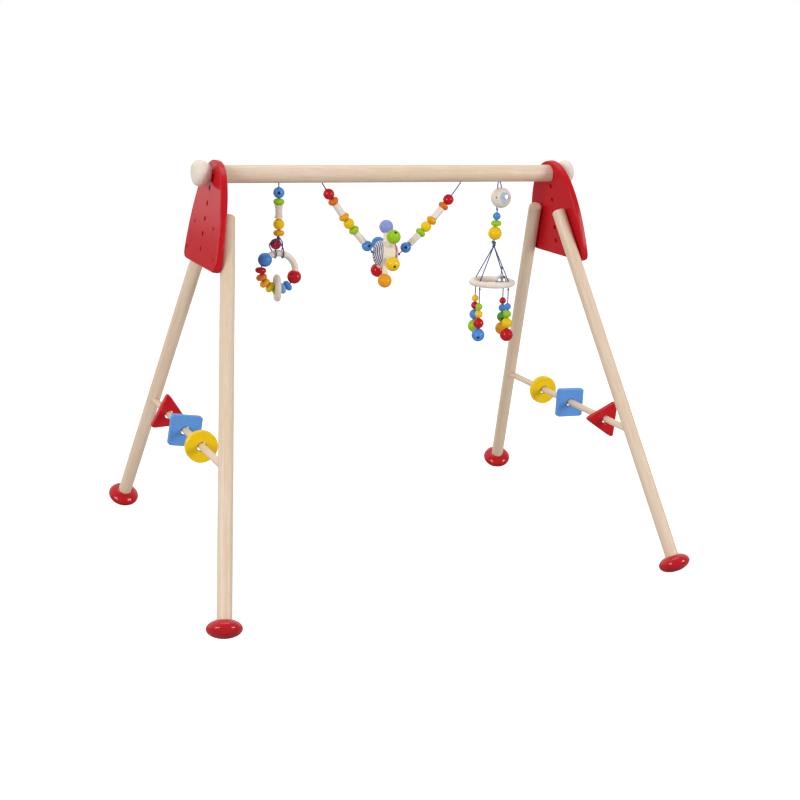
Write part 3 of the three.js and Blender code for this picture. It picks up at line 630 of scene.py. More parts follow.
def knot(name, place, size, body, tilt=0.0):
    """An overhand knot, drawn tight: a trefoil of the string."""
    path = []
    count = 90
    for i in range(count):
        t = 2 * math.pi * i / count
        local = Vector((math.sin(t) + 2 * math.sin(2 * t), math.cos(t) - 2 * math.cos(2 * t), -math.sin(3 * t)))
        path.append(Matrix.Rotation(tilt, 3, "Y") @ local * (size - CORD_RADIUS) / 3)
    piece = sweep(name, path, twisted, closed=True)
    piece.location = place
    return finish(piece, "cord", body)


def round_arc(centre, radius, start, end, count):
    """Places on a circle in the XZ plane, between two angles in degrees."""
    made = []
    for i in range(count + 1):
        angle = math.radians(start + (end - start) * i / count)
        made.append(Vector(centre) + Vector((math.cos(angle), 0, math.sin(angle))) * radius)
    return made


# ---------------------------------------------------------------- beads, each about its own Z
def ball_profile(radius, low_bore, high_bore, rows=22):
    """Up the outside of a ball, from one bore's mouth to the other's."""
    start = math.asin(low_bore / radius)
    end = math.pi - math.asin(high_bore / radius)
    angles = [start + (end - start) * i / rows for i in range(rows + 1)]
    return [(radius * math.sin(a), -radius * math.cos(a)) for a in angles]


def bead_ball(name, radius, bore=BORE_RADIUS):
    """A ball bored through, with slightly rounded mouths."""
    skin = ball_profile(radius, bore + GAP, bore + GAP)
    mouth = skin[-1][1]
    inside = [(bore, mouth - GAP), (bore, -mouth + GAP)]
    return revolve(name, [(bore, -mouth + GAP)] + skin + inside, sharp=60)


def drilled_ball(name, radius, bore=2.1 * MM, depth=5 * MM):
    """A ball with a blind hole at the top of its Z axis."""
    skin = ball_profile(radius, 0, bore + 0.4 * GAP)
    mouth = skin[-1][1]
    return revolve(name, skin + [(bore, mouth - GAP), (bore, mouth - depth), (0, mouth - depth)], sharp=60)


def hole_shadow(name, radius, bore=2 * MM, depth=0.9 * MM):
    """A dark disc just under the surface of a ball, inside a bored hole, as painted shade there."""
    floor = math.sqrt(radius**2 - bore**2) - depth
    return revolve(name, [(0, floor - 0.3 * MM), (bore, floor - 0.3 * MM), (bore, floor), (0, floor)], 24)


def bead_lens(name, bore=BORE_RADIUS):
    """A disc with full rounded sides, as a turned bead has."""
    half = LENS_LENGTH / 2
    skin = [(bore, -half + 0.4 * MM), (bore + 0.5 * MM, -half)]
    for i in range(1, 18):
        angle = math.pi * i / 18
        bulge = math.sin(angle) ** 0.8
        skin.append((bore + 0.9 * MM + (LENS_RADIUS - bore - 0.9 * MM) * bulge, -half * math.cos(angle)))
    skin += [(bore + 0.5 * MM, half), (bore, half - 0.4 * MM), skin[0]]
    return revolve(name, skin, sharp=60)


def bead_tube(name, bore=BORE_RADIUS):
    half = TUBE_LENGTH / 2
    corners = [(bore, -half), (TUBE_RADIUS, -half), (TUBE_RADIUS, half), (bore, half)]
    profile = softened(corners, 0.9 * MM, 4, closed=True)
    return revolve(name, profile + profile[:1], sharp=50)


def bead_spool(name, half, bore=BORE_RADIUS):
    """A spool: flanged ends, a hollow waist and turned grooves."""
    rim, waist, ledge = 6.5 * MM, 4.9 * MM, 2.2 * MM
    outer = [(rim, -half), (rim, -half + 1.5 * MM)]
    grooves = 5
    for i in range(grooves * 12 + 1):
        share = i / (grooves * 12)
        height = (2 * share - 1) * (half - ledge)
        hollow = waist + 0.5 * MM * (2 * share - 1) ** 2
        outer.append((hollow - 0.6 * MM * math.cos(2 * math.pi * grooves * share), height))
    outer += [(rim, half - 1.5 * MM), (rim, half)]
    profile = softened([(bore, -half)] + outer + [(bore, half)], 0.3 * MM, 2, closed=True)
    return revolve(name, profile + profile[:1], sharp=60)


def ring_torus(name, radius, tube, rows=72, sides=24):
    circle = [
        Vector((radius * math.cos(2 * math.pi * i / rows), radius * math.sin(2 * math.pi * i / rows), 0))
        for i in range(rows)
    ]
    return sweep(name, circle, lambda distance, turn: tube, sides, closed=True)


BEADS = {
    "ball": (2 * BALL_RADIUS, lambda name: bead_ball(name, BALL_RADIUS)),
    "lens": (LENS_LENGTH, bead_lens),
    "tube": (TUBE_LENGTH, bead_tube),
}


# ---------------------------------------------------------------- side frames
def side_matrix(sign):
    """A side's own frame: X out through the plate, Y along the floor, Z up the plate."""
    turn = Matrix.Rotation(0 if sign > 0 else math.pi, 4, "Z") @ Matrix.Rotation(-SIDE_LEAN, 4, "Y")
    return Matrix.Translation((sign * SIDE_X, 0, BAR_Z)) @ turn


def leg_offset(down):
    return LEG_OFFSET + down * math.tan(LEG_SPREAD)


def down_of(height):
    return (BAR_Z - height) / math.cos(SIDE_LEAN)


def on_leg(end, down):
    return Vector((0, end * leg_offset(down), -down))


def cubic(a, b, c, d, steps):
    """Points after the first on a cubic curve."""
    made = []
    for i in range(1, steps + 1):
        t = i / steps
        made.append(a * (1 - t) ** 3 + b * 3 * t * (1 - t) ** 2 + c * 3 * t**2 * (1 - t) + d * t**3)
    return made


def plate_outline():
    """The plate's outline, from the middle of its foot round to the right and over the top."""
    half = PLATE_HALF_WIDTH
    low = Vector((half - PLATE_CORNER, PLATE_BOTTOM))
    corner = Vector((half, PLATE_BOTTOM))
    side = Vector((half, PLATE_BOTTOM + PLATE_CORNER))
    shoulder = Vector((half - PLATE_DRAW_IN, PLATE_SHOULDER))
    right = [low] + cubic(low, low.lerp(corner, 2 / 3), side.lerp(corner, 2 / 3), side, 8)
    right += cubic(side, shoulder, Vector((PLATE_CROWN, PLATE_TOP)), Vector((0, PLATE_TOP)), 32)
    return right + [Vector((-p.x, p.y)) for p in reversed(right[:-1])]


def sheet(name, outline, thickness, rounding, hole_radius=0.0):
    """A flat board in XY, centred on Z, with rounded edges and perhaps a round hole at its origin."""
    curve = bpy.data.curves.new(name, "CURVE")
    curve.dimensions = "2D"
    curve.fill_mode = "BOTH"
    curve.extrude = thickness / 2 - rounding
    curve.bevel_depth = rounding
    curve.bevel_resolution = 4
    curve.offset = -rounding
    loops = [outline]
    if hole_radius:
        turns = [2 * math.pi * i / 40 for i in range(40)]
        loops.append([Vector((math.cos(t), -math.sin(t))) * hole_radius for t in turns])
    for loop in loops:
        spline = curve.splines.new("POLY")
        spline.points.add(len(loop) - 1)
        spline.use_cyclic_u = True
        for point, place in zip(spline.points, loop):
            point.co = (place.x, place.y, 0, 1)
    source = bpy.data.objects.new(name + "_curve", curve)
    bpy.context.scene.collection.objects.link(source)
    bpy.context.view_layer.update()
    mesh = bpy.data.meshes.new_from_object(source.evaluated_get(bpy.context.evaluated_depsgraph_get()))
    bpy.data.objects.remove(source)
    mesh.name = name
    weld(mesh)
    piece = bpy.data.objects.new(name, mesh)
    bpy.context.scene.collection.objects.link(piece)
    return even_shading(piece)


def weld(mesh, distance=0.01 * MM):
    shell = bmesh.new()
    shell.from_mesh(mesh)
    bmesh.ops.remove_doubles(shell, verts=shell.verts, dist=distance)
    bmesh.ops.recalc_face_normals(shell, faces=shell.faces)
    shell.to_mesh(mesh)
    shell.free()


def cut_away(piece, tools):
    """Cuts the tools out of a piece, then removes them."""
    for tool in tools:
        modifier = piece.modifiers.new("cut", "BOOLEAN")
        modifier.operation = "DIFFERENCE"
        modifier.solver = "EXACT"
        modifier.object = tool
    bpy.context.view_layer.update()
    applied(piece)
    for tool in tools:
        bpy.data.objects.remove(tool)
    return even_shading(piece)


def applied(piece):
    """Applies a piece's modifiers to its mesh."""
    mesh = bpy.data.meshes.new_from_object(piece.evaluated_get(bpy.context.evaluated_depsgraph_get()))
    piece.modifiers.clear()
    piece.data = mesh


def even_shading(piece):
    """Smooth shading whose normals follow the larger faces, so flat faces look flat."""
    piece.data.shade_smooth()
    piece.data.set_sharp_from_angle(angle=math.radians(32))
    modifier = piece.modifiers.new("normals", "WEIGHTED_NORMAL")
    modifier.keep_sharp = True
    bpy.context.view_layer.update()
    applied(piece)
    return piece


def joined(name, tools):
    """One mesh object holding the tools' meshes, each where it stands."""
    shell = bmesh.new()
    for tool in tools:
        copy = tool.data.copy()
        copy.transform(tool.matrix_world)
        shell.from_mesh(copy)
        bpy.data.objects.remove(tool)
    mesh = bpy.data.meshes.new(name)
    shell.to_mesh(mesh)
    shell.free()
    whole = bpy.data.objects.new(name, mesh)
    bpy.context.scene.collection.objects.link(whole)
    return whole


def hole_tool(radius, low, high, flare=0.5 * MM):
    """A drill with a small chamfer where it enters and leaves, between two heights on its Z."""
    over = 2 * MM
    profile = [
        (0, low - over),
        (radius + flare + over, low - over),
        (radius, low + flare),
        (radius, high - flare),
        (radius + flare + over, high + over),
        (0, high + over),
    ]
    return revolve("drill", profile, 32)


def screw_recess():
    """The cutter for a screw's round recess, about the plate's own Z."""
    face = PLATE_THICKNESS / 2
    floor, over = face - SCREW_SINK, face + 2 * MM
    radius, flare = SCREW_HEAD_RADIUS + GAP, 0.4 * MM
    profile = [(0, floor), (radius, floor), (radius, face - flare), (radius + flare + 2 * MM, over), (0, over)]
    return revolve("drill", profile, 32)


def plate(side, sign):
    board = sheet(f"side_plate_{side}", plate_outline(), PLATE_THICKNESS, PLATE_ROUNDING)
    half = PLATE_THICKNESS / 2
    drills = []
    for i in range(HEIGHT_HOLES + 1):
        drill = hole_tool(HEIGHT_HOLE_RADIUS, -half, half)
        drill.location = (0, -HEIGHT_HOLE_DROP - i * HEIGHT_HOLE_PITCH, 0)
        drills.append(drill)
    for end in (-1, 1):
        for down in SCREW_DEPTHS:
            drill = screw_recess()
            drill.location = (on_leg(end, down).y, on_leg(end, down).z, 0)
            drills.append(drill)
    bpy.context.view_layer.update()
    cut_away(board, [joined("drills", drills)])
    upright = Matrix(((0, 0, 1, PLATE_INNER + half), (1, 0, 0, 0), (0, 1, 0, 0), (0, 0, 0, 1)))
    board.matrix_world = side_matrix(sign) @ upright
    finish(board, "satin_red", "frame", f"plate_{side}")


def screw_head(name, sign, end, down):
    """A cross-head screw at the bottom of its recess."""
    top = SCREW_HEAD_HEIGHT
    shank = [(0, -6 * MM), (SCREW_RADIUS, -6 * MM), (SCREW_RADIUS, 0), (SCREW_HEAD_RADIUS, 0.1 * MM)]
    crown = [(SCREW_HEAD_RADIUS, top - 0.4 * MM), (SCREW_HEAD_RADIUS - 0.5 * MM, top), (0, top)]
    head = revolve(name, shank + crown, 32)
    slots = []
    for turn in (0.4, 0.4 + math.pi / 2):
        bpy.ops.mesh.primitive_cube_add(size=1)
        slot = bpy.context.object
        slot.scale = (2.8 * MM, 0.6 * MM, 1.6 * MM)
        slot.rotation_euler = (0, 0, turn)
        slot.location = (0, 0, top)
        slots.append(slot)
    cut_away(head, slots)
    seat = on_leg(end, down) + X_AXIS * (PLATE_OUTER - SCREW_SINK + GAP)
    matrix = side_matrix(sign)
    aim(head, matrix.to_3x3() @ X_AXIS, matrix @ seat)
    finish(head, "dull_steel", "frame", name)


def leg(name, sign, end):
    matrix = side_matrix(sign)
    top = matrix @ on_leg(end, LEG_TOP)
    foot_middle = matrix @ on_leg(end, down_of(FOOT_Z))
    length = (top - foot_middle).length + FOOT_SOCKET
    tip = softened([(LEG_RADIUS, -LEG_CHAMFER), (LEG_RADIUS - LEG_CHAMFER, 0), (0, 0)], 0.6 * MM)
    rows = 24
    side = [(LEG_RADIUS, -length + (length - 2 * LEG_CHAMFER) * i / rows) for i in range(rows + 1)]
    body = revolve(name, [(0, -length)] + side + [tuple(p) for p in tip], 56)
    finish(aim(body, top - foot_middle, top), "wood", "frame", name)


def ground_flat(piece):
    """Cuts a piece off level at the floor and closes it there."""
    bpy.context.view_layer.update()
    piece.data.transform(piece.matrix_world)
    piece.matrix_world = Matrix.Identity(4)
    shell = bmesh.new()
    shell.from_mesh(piece.data)
    whole = shell.verts[:] + shell.edges[:] + shell.faces[:]
    cut = bmesh.ops.bisect_plane(shell, geom=whole, plane_co=(0, 0, 0), plane_no=(0, 0, -1), clear_outer=True)
    edges = [e for e in cut["geom_cut"] if isinstance(e, bmesh.types.BMEdge)]
    bmesh.ops.edgeloop_fill(shell, edges=edges)
    shell.to_mesh(piece.data)
    shell.free()
    piece.data.set_sharp_from_angle(angle=math.radians(32))


def foot(name, sign, end):
    """A turned foot, round all over and square to its leg, ground flat where it meets the floor."""
    matrix = side_matrix(sign)
    centre = matrix @ on_leg(end, down_of(FOOT_Z))
    up = matrix @ on_leg(end, LEG_TOP) - centre
    rows = 26
    sweep_angle = math.pi / 2 + math.asin(FOOT_CROWN)
    skin = []
    for i in range(rows + 1):
        angle = sweep_angle * i / rows - math.pi / 2
        skin.append((FOOT_RADIUS * math.cos(angle), FOOT_HALF_HEIGHT * math.sin(angle)))
    mouth = LEG_RADIUS + GAP
    socket = softened([skin[-1], (mouth, skin[-1][1]), (mouth, -FOOT_SOCKET), (0, -FOOT_SOCKET)], 0.7 * MM)
    body = revolve(name, skin + [tuple(p) for p in socket[1:]], 64)
    aim(body, up, centre)
    ground_flat(body)
    finish(body, "red", "frame", name)


def rung(side):
    low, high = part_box(f"rung_{side}")
    half = (high.y - low.y) / 2
    profile = softened([(0, -half), (RUNG_RADIUS, -half), (RUNG_RADIUS, half), (0, half)], 0.5 * MM)
    body = revolve(f"rung_{side}", profile, 40)
    finish(aim(body, Y_AXIS, middle(f"rung_{side}")), "wood", "frame", f"rung_{side}")


def side_frames():
    for side, sign in (("left", -1), ("right", 1)):
        plate(side, sign)
        rung(side)
        for place, front in (("front", -1), ("back", 1)):
            end = front * sign
            leg(f"leg_{place}_{side}", sign, end)
            foot(f"foot_{place}_{side}", sign, end)
            for i, down in enumerate(SCREW_DEPTHS, 1):
                screw_head(f"screw_{place}_{side}_{i}", sign, end, down)


# ---------------------------------------------------------------- bar and knobs
def string_hole():
    """The cutter for a small chamfered hole, upwards from its mouth at the origin."""
    profile = [(0, -6 * MM), (1.7 * MM, -6 * MM), (1.7 * MM, 0), (3.2 * MM, 3 * MM), (0, 3 * MM)]
    return revolve("drill", profile, 24)


def crossbar():
    """The bar, cut to the lean of the plates, with softened ends and small holes for the strings."""
    half = BAR_HALF - BAR_RADIUS * math.tan(SIDE_LEAN)
    corners = [(0, -half), (BAR_RADIUS, -half), (BAR_RADIUS, half), (0, half)]
    profile = softened(corners, 1.2 * MM, 4)
    rows = [Vector((BAR_RADIUS, half * i / 4)) for i in range(-3, 4)]
    split = len(profile) // 2
    bar = revolve("crossbar", [tuple(p) for p in profile[:split] + rows + profile[split:]], 64)
    for vertex in bar.data.vertices:
        lean = vertex.co.x * math.tan(SIDE_LEAN)
        share = max(0.0, abs(vertex.co.z) / half - 0.8) / 0.2
        vertex.co.z += math.copysign(lean * share, vertex.co.z)
    aim(bar, X_AXIS, (0, 0, BAR_Z))
    mouths = [(x, 0, EXIT_Z + 0.2 * MM) for x in (PENDANT_X, -GARLAND_EXIT_X, GARLAND_EXIT_X, MOBILE_X)]
    drills = [aim(string_hole(), -Z_AXIS, mouth) for mouth in mouths]
    bpy.context.view_layer.update()
    cut_away(bar, [joined("drills", drills)])
    finish(bar, "wood", "frame", "crossbar")


KNOB_OUTLINE = ((9.5, 0), (11.6, 1.3), (13.6, 3.4), (15.8, 6.6), (17.4, 10.2), (18.2, 14.5), (17.5, 18.3))
KNOB_SHOULDER = ((15.8, 21.4), (13.2, 23.5), (11.8, 23.95))


def knob(side, sign):
    """A turned knob with a flat outer face."""
    low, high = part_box(f"knob_{side}")
    length = high.x - low.x
    base = low.x if sign > 0 else high.x
    skin = smooth_path([Vector((r, z, 0)) * MM for r, z in KNOB_OUTLINE + KNOB_SHOULDER], 0.8 * MM)
    profile = [(0, 0)] + [(p.x, p.y) for p in skin] + [(10.6 * MM, length), (0, length)]
    body = revolve(f"knob_{side}", profile, 72, sharp=50)
    finish(aim(body, X_AXIS * sign, (base, 0, BOLT_Z)), "pale_wood", f"knob_{side}_body", f"knob_{side}")


def knob_bolt(side, sign):
    """The knob's threaded bolt, and the threaded insert in the bar that takes it."""
    name, half = f"knob_bolt_{side}", extent(f"knob_bolt_{side}").x / 2
    radius = extent(name).z / 2
    turns, depth = 24, 0.45 * MM
    threads = [(radius - depth * (i % 2), half * (i / turns - 1)) for i in range(turns * 2 + 1)]
    bolt = revolve(name, [(0, -half)] + threads + [(0, half)], 32, sharp=20)
    finish(aim(bolt, X_AXIS * sign, middle(name)), "steel", f"knob_{side}_body", name)
    name, half = f"bar_insert_{side}", extent(f"bar_insert_{side}").x / 2
    inner, outer = radius + 0.4 * MM, extent(name).z / 2
    corners = [(inner, -half), (outer, -half), (outer, half), (inner, half)]
    ring = softened(corners, 0.3 * MM, 2, closed=True)
    insert = revolve(name, ring + ring[:1], 32)
    finish(aim(insert, X_AXIS * sign, middle(name)), "brass", "frame", name)


# ---------------------------------------------------------------- shapes on the rungs
def rounded_polygon(count, radius, first_angle, corner):
    points = []
    for i in range(count):
        angle = math.radians(first_angle + 360 * i / count)
        points.append(Vector((radius * math.cos(angle), radius * math.sin(angle))))
    return softened(points, corner, 8, closed=True)


def disc_outline(radius):
    turns = [2 * math.pi * i / 72 for i in range(72)]
    return [Vector((math.cos(t), math.sin(t))) * radius for t in turns]


OUTLINES = {
    "triangle": lambda: rounded_polygon(3, 34 * MM, 90, 8 * MM),
    "square": lambda: rounded_polygon(4, 45 * MM * math.sqrt(0.5), 45, 5 * MM),
    "disc": lambda: disc_outline(22.5 * MM),
}
SHAPES = (
    ("triangle_left", "triangle", 2, "satin_red"),
    ("square_left", "square", -9, "sky_blue"),
    ("disc_left", "disc", 0, "yellow"),
    ("disc_right", "disc", 0, "yellow"),
    ("square_right", "square", -2, "sky_blue"),
    ("triangle_right", "triangle", 85, "satin_red"),
)


def rung_shapes():
    hang = SHAPE_HOLE_RADIUS - RUNG_RADIUS - 2 * GAP
    for name, kind, turn, colour in SHAPES:
        side = name.split("_")[1]
        shape = sheet(name, OUTLINES[kind](), SHAPE_THICKNESS, SHAPE_ROUNDING, SHAPE_HOLE_RADIUS)
        place = Vector((middle(f"rung_{side}").x, middle(name).y, RUNG_Z - hang))
        face = Matrix.Rotation(math.radians(-turn), 4, "Y") @ Matrix.Rotation(math.pi / 2, 4, "X")
        shape.matrix_world = Matrix.Translation(place) @ face
        finish(shape, colour, name + "_body", name)


# ---------------------------------------------------------------- pendant with the grasping ring
def hanging_pendant():
    body = "pendant"
    knot_place = Vector((PENDANT_X, 0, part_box("pendant_cord")[0].z - GAP - SLING_KNOT_RADIUS))
    string("pendant_string", [(PENDANT_X, 0, EXIT_Z + CORD_START), knot_place], body, ["pendant_cord"])
    toward_camera = Vector((CAMERA_PLACE.x - PENDANT_X, CAMERA_PLACE.y, 0.1)).normalized()
    blue = middle("pendant_blue_bead")
    side_bored_ball("pendant_blue_bead", BALL_RADIUS, toward_camera, blue, "blue", body, "pendant_blue_bead")
    for name, finish_name in (("pendant_green_disc", "green"), ("pendant_amber_disc", "amber")):
        finish(aim(bead_lens(name), Z_AXIS, middle(name)), finish_name, body, name)
    spool = bead_spool("pendant_spool", extent("pendant_spool").z / 2)
    finish(aim(spool, Z_AXIS, middle("pendant_spool")), "pale_wood", body, "pendant_spool")
    yellow = bead_ball("pendant_yellow_bead", BALL_RADIUS)
    finish(aim(yellow, Z_AXIS, middle("pendant_yellow_bead")), "yellow", body, "pendant_yellow_bead")
    return knot_place


def side_bored_ball(name, radius, direction, place, finish_name, body, *nodes):
    """A ball whose cross hole faces a direction, with a dark disc in that hole as painted shade."""
    finish(aim(drilled_ball(name, radius), direction, place), finish_name, body, *nodes)
    # Painted shade: a dark disc inside the hole.
    finish(aim(hole_shadow(name + "_hole", radius), direction, place), "drilled", body)


# Each loop's way from the knot, in front of the ring's arc, under it and up behind, in millimetres.
SLING_LOOPS = {
    "left": (
        (-175.2, -3.5, 461),
        (-179.6, -5.7, 454),
        (-178.7, -6.3, 448.3),
        (-177.2, -6.2, 441.3),
        (-177.2, -4.5, 436.9),
        (-177.2, 0, 435),
        (-177.2, 4.5, 436.9),
        (-177.6, 6.3, 441.3),
        (-181, 7.6, 447),
        (-183.9, 4.6, 453.5),
        (-180.5, -1.5, 459.7),
    ),
    "right": (
        (-172, -3.4, 460.4),
        (-170.2, -5.8, 455.8),
        (-167.9, -6.6, 450.4),
        (-166.5, -6.4, 445.6),
        (-166.4, -6.2, 441),
        (-166.4, -4.4, 436.6),
        (-166.4, 0, 434.7),
        (-166.4, 4.4, 436.6),
        (-166.2, 6.3, 441),
        (-164.2, 6.9, 447.5),
        (-164.4, 5, 454),
        (-167.4, 1.5, 460),
    ),
}
GRASP_DISCS = (
    (175.5, "bead_red"),
    (198, "orange"),
    (220, "amber"),
    (241.5, "yellow"),
    (262, "green"),
    (284, "light_blue"),
    (303.5, "blue"),
)


def on_grasp_ring(angle):
    return round_arc(GRASP_CENTRE, GRASP_RADIUS, angle, angle, 1)[0]


def grasping_ring(knot_place):
    """A wooden arc closed by a string of discs, hung from the pendant by two loops of string."""
    body = "grasping_toy"
    knot("grasp_knot", knot_place, 3.4 * MM, body, 0.6)
    for side, places in SLING_LOOPS.items():
        loop = [Vector(place) * MM for place in places]
        nodes = ["grasp_sling"] if side == "left" else []
        string(f"grasp_loop_{side}", [knot_place, *loop, knot_place], body, nodes)
    red = bead_ball("grasp_red_bead", BALL_RADIUS)
    finish(aim(red, X_AXIS, SLING_BEAD), "bead_red", body, "grasp_red_bead")
    angles = (GRASP_BLUE_ANGLE, GRASP_RED_ANGLE - 360, 24)
    arc = smooth_path(round_arc(GRASP_CENTRE, GRASP_RADIUS, *angles), 1 * MM)
    wooden = sweep("grasp_arc", arc, lambda distance, turn: GRASP_TUBE, 28)
    finish(wooden, "pale_wood", body, "grasp_ring")
    beads = round_arc(GRASP_CENTRE, GRASP_RADIUS, GRASP_BLUE_ANGLE, GRASP_RED_ANGLE, 30)
    string("grasp_bead_string", beads, body)
    for angle, colour in ((GRASP_BLUE_ANGLE, "blue"), (GRASP_RED_ANGLE, "bead_red")):
        end_ball = bead_ball(f"grasp_{colour}_ball", GRASP_BALL)
        finish(aim(end_ball, grasp_tangent(angle), on_grasp_ring(angle)), colour, body)
    for i, (angle, colour) in enumerate(GRASP_DISCS, 1):
        disc = bead_lens(f"grasp_disc_{i}")
        finish(aim(disc, grasp_tangent(angle), on_grasp_ring(angle)), colour, body)
    loose = ring_torus("loose_ring", LOOSE_RADIUS, LOOSE_TUBE)
    across = Matrix.Rotation(LOOSE_TURN, 3, "Z") @ X_AXIS
    finish(aim(loose, across, middle("loose_ring")), "pale_wood", "loose_ring_body", "loose_ring")


def grasp_tangent(angle):
    return Vector((-math.sin(math.radians(angle)), 0, math.cos(math.radians(angle))))


# ---------------------------------------------------------------- garland with the spinner
GARLAND_BEADS = (
    ("ball", "bead_red"),
    ("lens", "orange"),
    ("tube", "pale_wood"),
    ("lens", "amber"),
    ("ball", "yellow"),
    ("lens", "green"),
    ("tube", "pale_wood"),
    ("ball", "blue"),
)
GARLAND_SIDES = (
    ("left", -1, Vector((-73.1, 0, 483.8)) * MM, 18.9 * MM),
    ("right", 1, Vector((65.5, 0, 480.6)) * MM, 32 * MM),
)


def at_distance(path, distance):
    """The place and direction a distance along a path."""
    for a, b in zip(path, path[1:]):
        step = (b - a).length
        if distance <= step:
            return a.lerp(b, distance / step), (b - a).normalized()
        distance -= step
    return path[-1], (path[-1] - path[-2]).normalized()


def garland():
    body = "garland"
    halves = []
    for side, sign, bend, first in GARLAND_SIDES:
        start = Vector((sign * GARLAND_EXIT_X, 0, EXIT_Z - CORD_START))
        end = SPINNER_CENTRE + SPINNER_TILT @ X_AXIS * sign * (DRUM_HALF_LENGTH + DRUM_DOME + 3 * GAP)
        path = [start * (1 - t) ** 2 + bend * 2 * t * (1 - t) + end * t * t for t in [i / 60 for i in range(61)]]
        halves.append([Vector((start.x, 0, EXIT_Z + CORD_START))] + path)
        edge = first - CORD_START - BEADS[GARLAND_BEADS[0][0]][0] / 2
        for i, (kind, finish_name) in enumerate(GARLAND_BEADS, 1):
            length, make = BEADS[kind]
            place, along = at_distance(path, edge + length / 2)
            name = f"garland_{side}_bead_{i}"
            if i == len(GARLAND_BEADS):
                facing = Vector((-0.42 if sign > 0 else 0.1, -1, 0.12)).normalized()
                side_bored_ball(name, BALL_RADIUS, facing, place, finish_name, body)
            else:
                finish(aim(make(name), along, place), finish_name, body)
            edge += length
    whole = halves[0] + list(reversed(halves[1]))
    string("garland_string", whole, body, ["garland_left", "garland_right"])


def dome_profile():
    rows = 14
    skin = []
    for i in range(rows + 1):
        angle = math.pi / 2 * i / rows
        skin.append((DRUM_RADIUS * math.cos(angle), DRUM_HALF_LENGTH + DRUM_DOME * math.sin(angle)))
    return [(0, DRUM_HALF_LENGTH), (DRUM_RADIUS, DRUM_HALF_LENGTH)] + skin[1:-1] + [(1.4 * MM, DRUM_HALF_LENGTH + DRUM_DOME)]


PEG_COLOURS = ("lavender", "green", "yellow", "amber", "bead_red", "blue")


def peg_profile():
    inner, outer = DRUM_RADIUS * 0.6, PEG_REACH - 3 * MM
    return softened([(0, inner), (PEG_RADIUS, inner), (PEG_RADIUS, outer), (0, outer)], 0.4 * MM, 2)


def spinner():
    """A drum with painted domes that turns on the string, and six balls on pegs round it."""
    body = "spinner_body"
    half = DRUM_HALF_LENGTH
    along = SPINNER_TILT @ X_AXIS
    drum = revolve("spinner_drum", [(0, -half), (DRUM_RADIUS, -half), (DRUM_RADIUS, half), (0, half)], 72)
    finish(aim(drum, along, SPINNER_CENTRE), "pale_wood", body, "spinner")
    eye = [(1.4 * MM, half + 4 * MM), (0, half + 4 * MM)]
    for side, direction, rings in (("left", -along, "navy_rings"), ("right", along, "red_rings")):
        dome = revolve(f"spinner_dome_{side}", dome_profile() + eye, 72)
        finish(aim(dome, direction, SPINNER_CENTRE), rings, body)
    for i, colour in enumerate(PEG_COLOURS, 1):
        angle = math.radians(PEG_PHASE + 60 * (i - 1))
        out = SPINNER_TILT @ Vector((0, -math.sin(angle), math.cos(angle)))
        peg = revolve(f"spinner_peg_{i}", peg_profile(), 32)
        finish(aim(peg, out, SPINNER_CENTRE), "pale_wood", body)
        side_bored_ball(f"spinner_ball_{i}", PEG_BALL, out, SPINNER_CENTRE + out * PEG_REACH, colour, body)


# ---------------------------------------------------------------- mobile with the bell
RATTLE_FACING = Vector((-0.452, -0.886, 0.1)).normalized()
RATTLE_ASIDE = Z_AXIS.cross(RATTLE_FACING).normalized()


def rattle():
    """The wooden rattle ball, with an oval mirror let into its front between two small holes."""
    body = "mobile"
    ball = bead_ball("rattle_ball", RATTLE_RADIUS)
    aim(ball, Z_AXIS, RATTLE_CENTRE)
    deep, over = RATTLE_RADIUS - 5 * MM, RATTLE_RADIUS + 3 * MM
    profile = [(0, deep), (1.5 * MM, deep), (1.5 * MM, RATTLE_RADIUS), (2.2 * MM, over), (0, over)]
    drills = []
    for lean in (-0.49, 1.3):
        drills.append(aim(revolve("drill", profile, 24), RATTLE_FACING + RATTLE_ASIDE * lean, RATTLE_CENTRE))
    bpy.context.view_layer.update()
    cut_away(ball, [joined("drills", drills)])
    finish(ball, "pale_wood", body, "rattle_ball")
    oval = oval_cap("rattle_mirror", 7.6 * MM, 9.1 * MM, RATTLE_RADIUS)
    forward = (RATTLE_FACING + RATTLE_ASIDE * 0.42).normalized()
    across = Z_AXIS.cross(forward).normalized()
    upright = Matrix((across, forward.cross(across), forward)).transposed().to_4x4()
    oval.matrix_world = Matrix.Translation(RATTLE_CENTRE) @ upright
    finish(oval, "mirror", body)


def oval_cap(name, half_width, half_height, radius):
    """A thin oval that lies on a sphere of the radius about its origin, at the top of its Z axis."""
    sphere = radius + 0.25 * MM
    rows, segments = 10, 48
    vertices, faces = [Vector((0, 0, sphere))], []
    for row in range(1, rows + 1):
        lift = sphere if row < rows else radius - 0.8 * MM
        for i in range(segments):
            angle = 2 * math.pi * i / segments
            x = half_width * row / rows * math.cos(angle)
            y = half_height * row / rows * math.sin(angle)
            vertices.append(Vector((x, y, math.sqrt(lift**2 - x * x - y * y))))
    for i in range(segments):
        j = (i + 1) % segments
        faces.append((0, 1 + i, 1 + j))
        for row in range(1, rows):
            low, high = 1 + (row - 1) * segments, 1 + row * segments
            faces.append((low + i, high + i, high + j, low + j))
    faces.append(tuple(reversed(range(1 + (rows - 1) * segments, 1 + rows * segments))))
    return new_piece(name, vertices, faces)


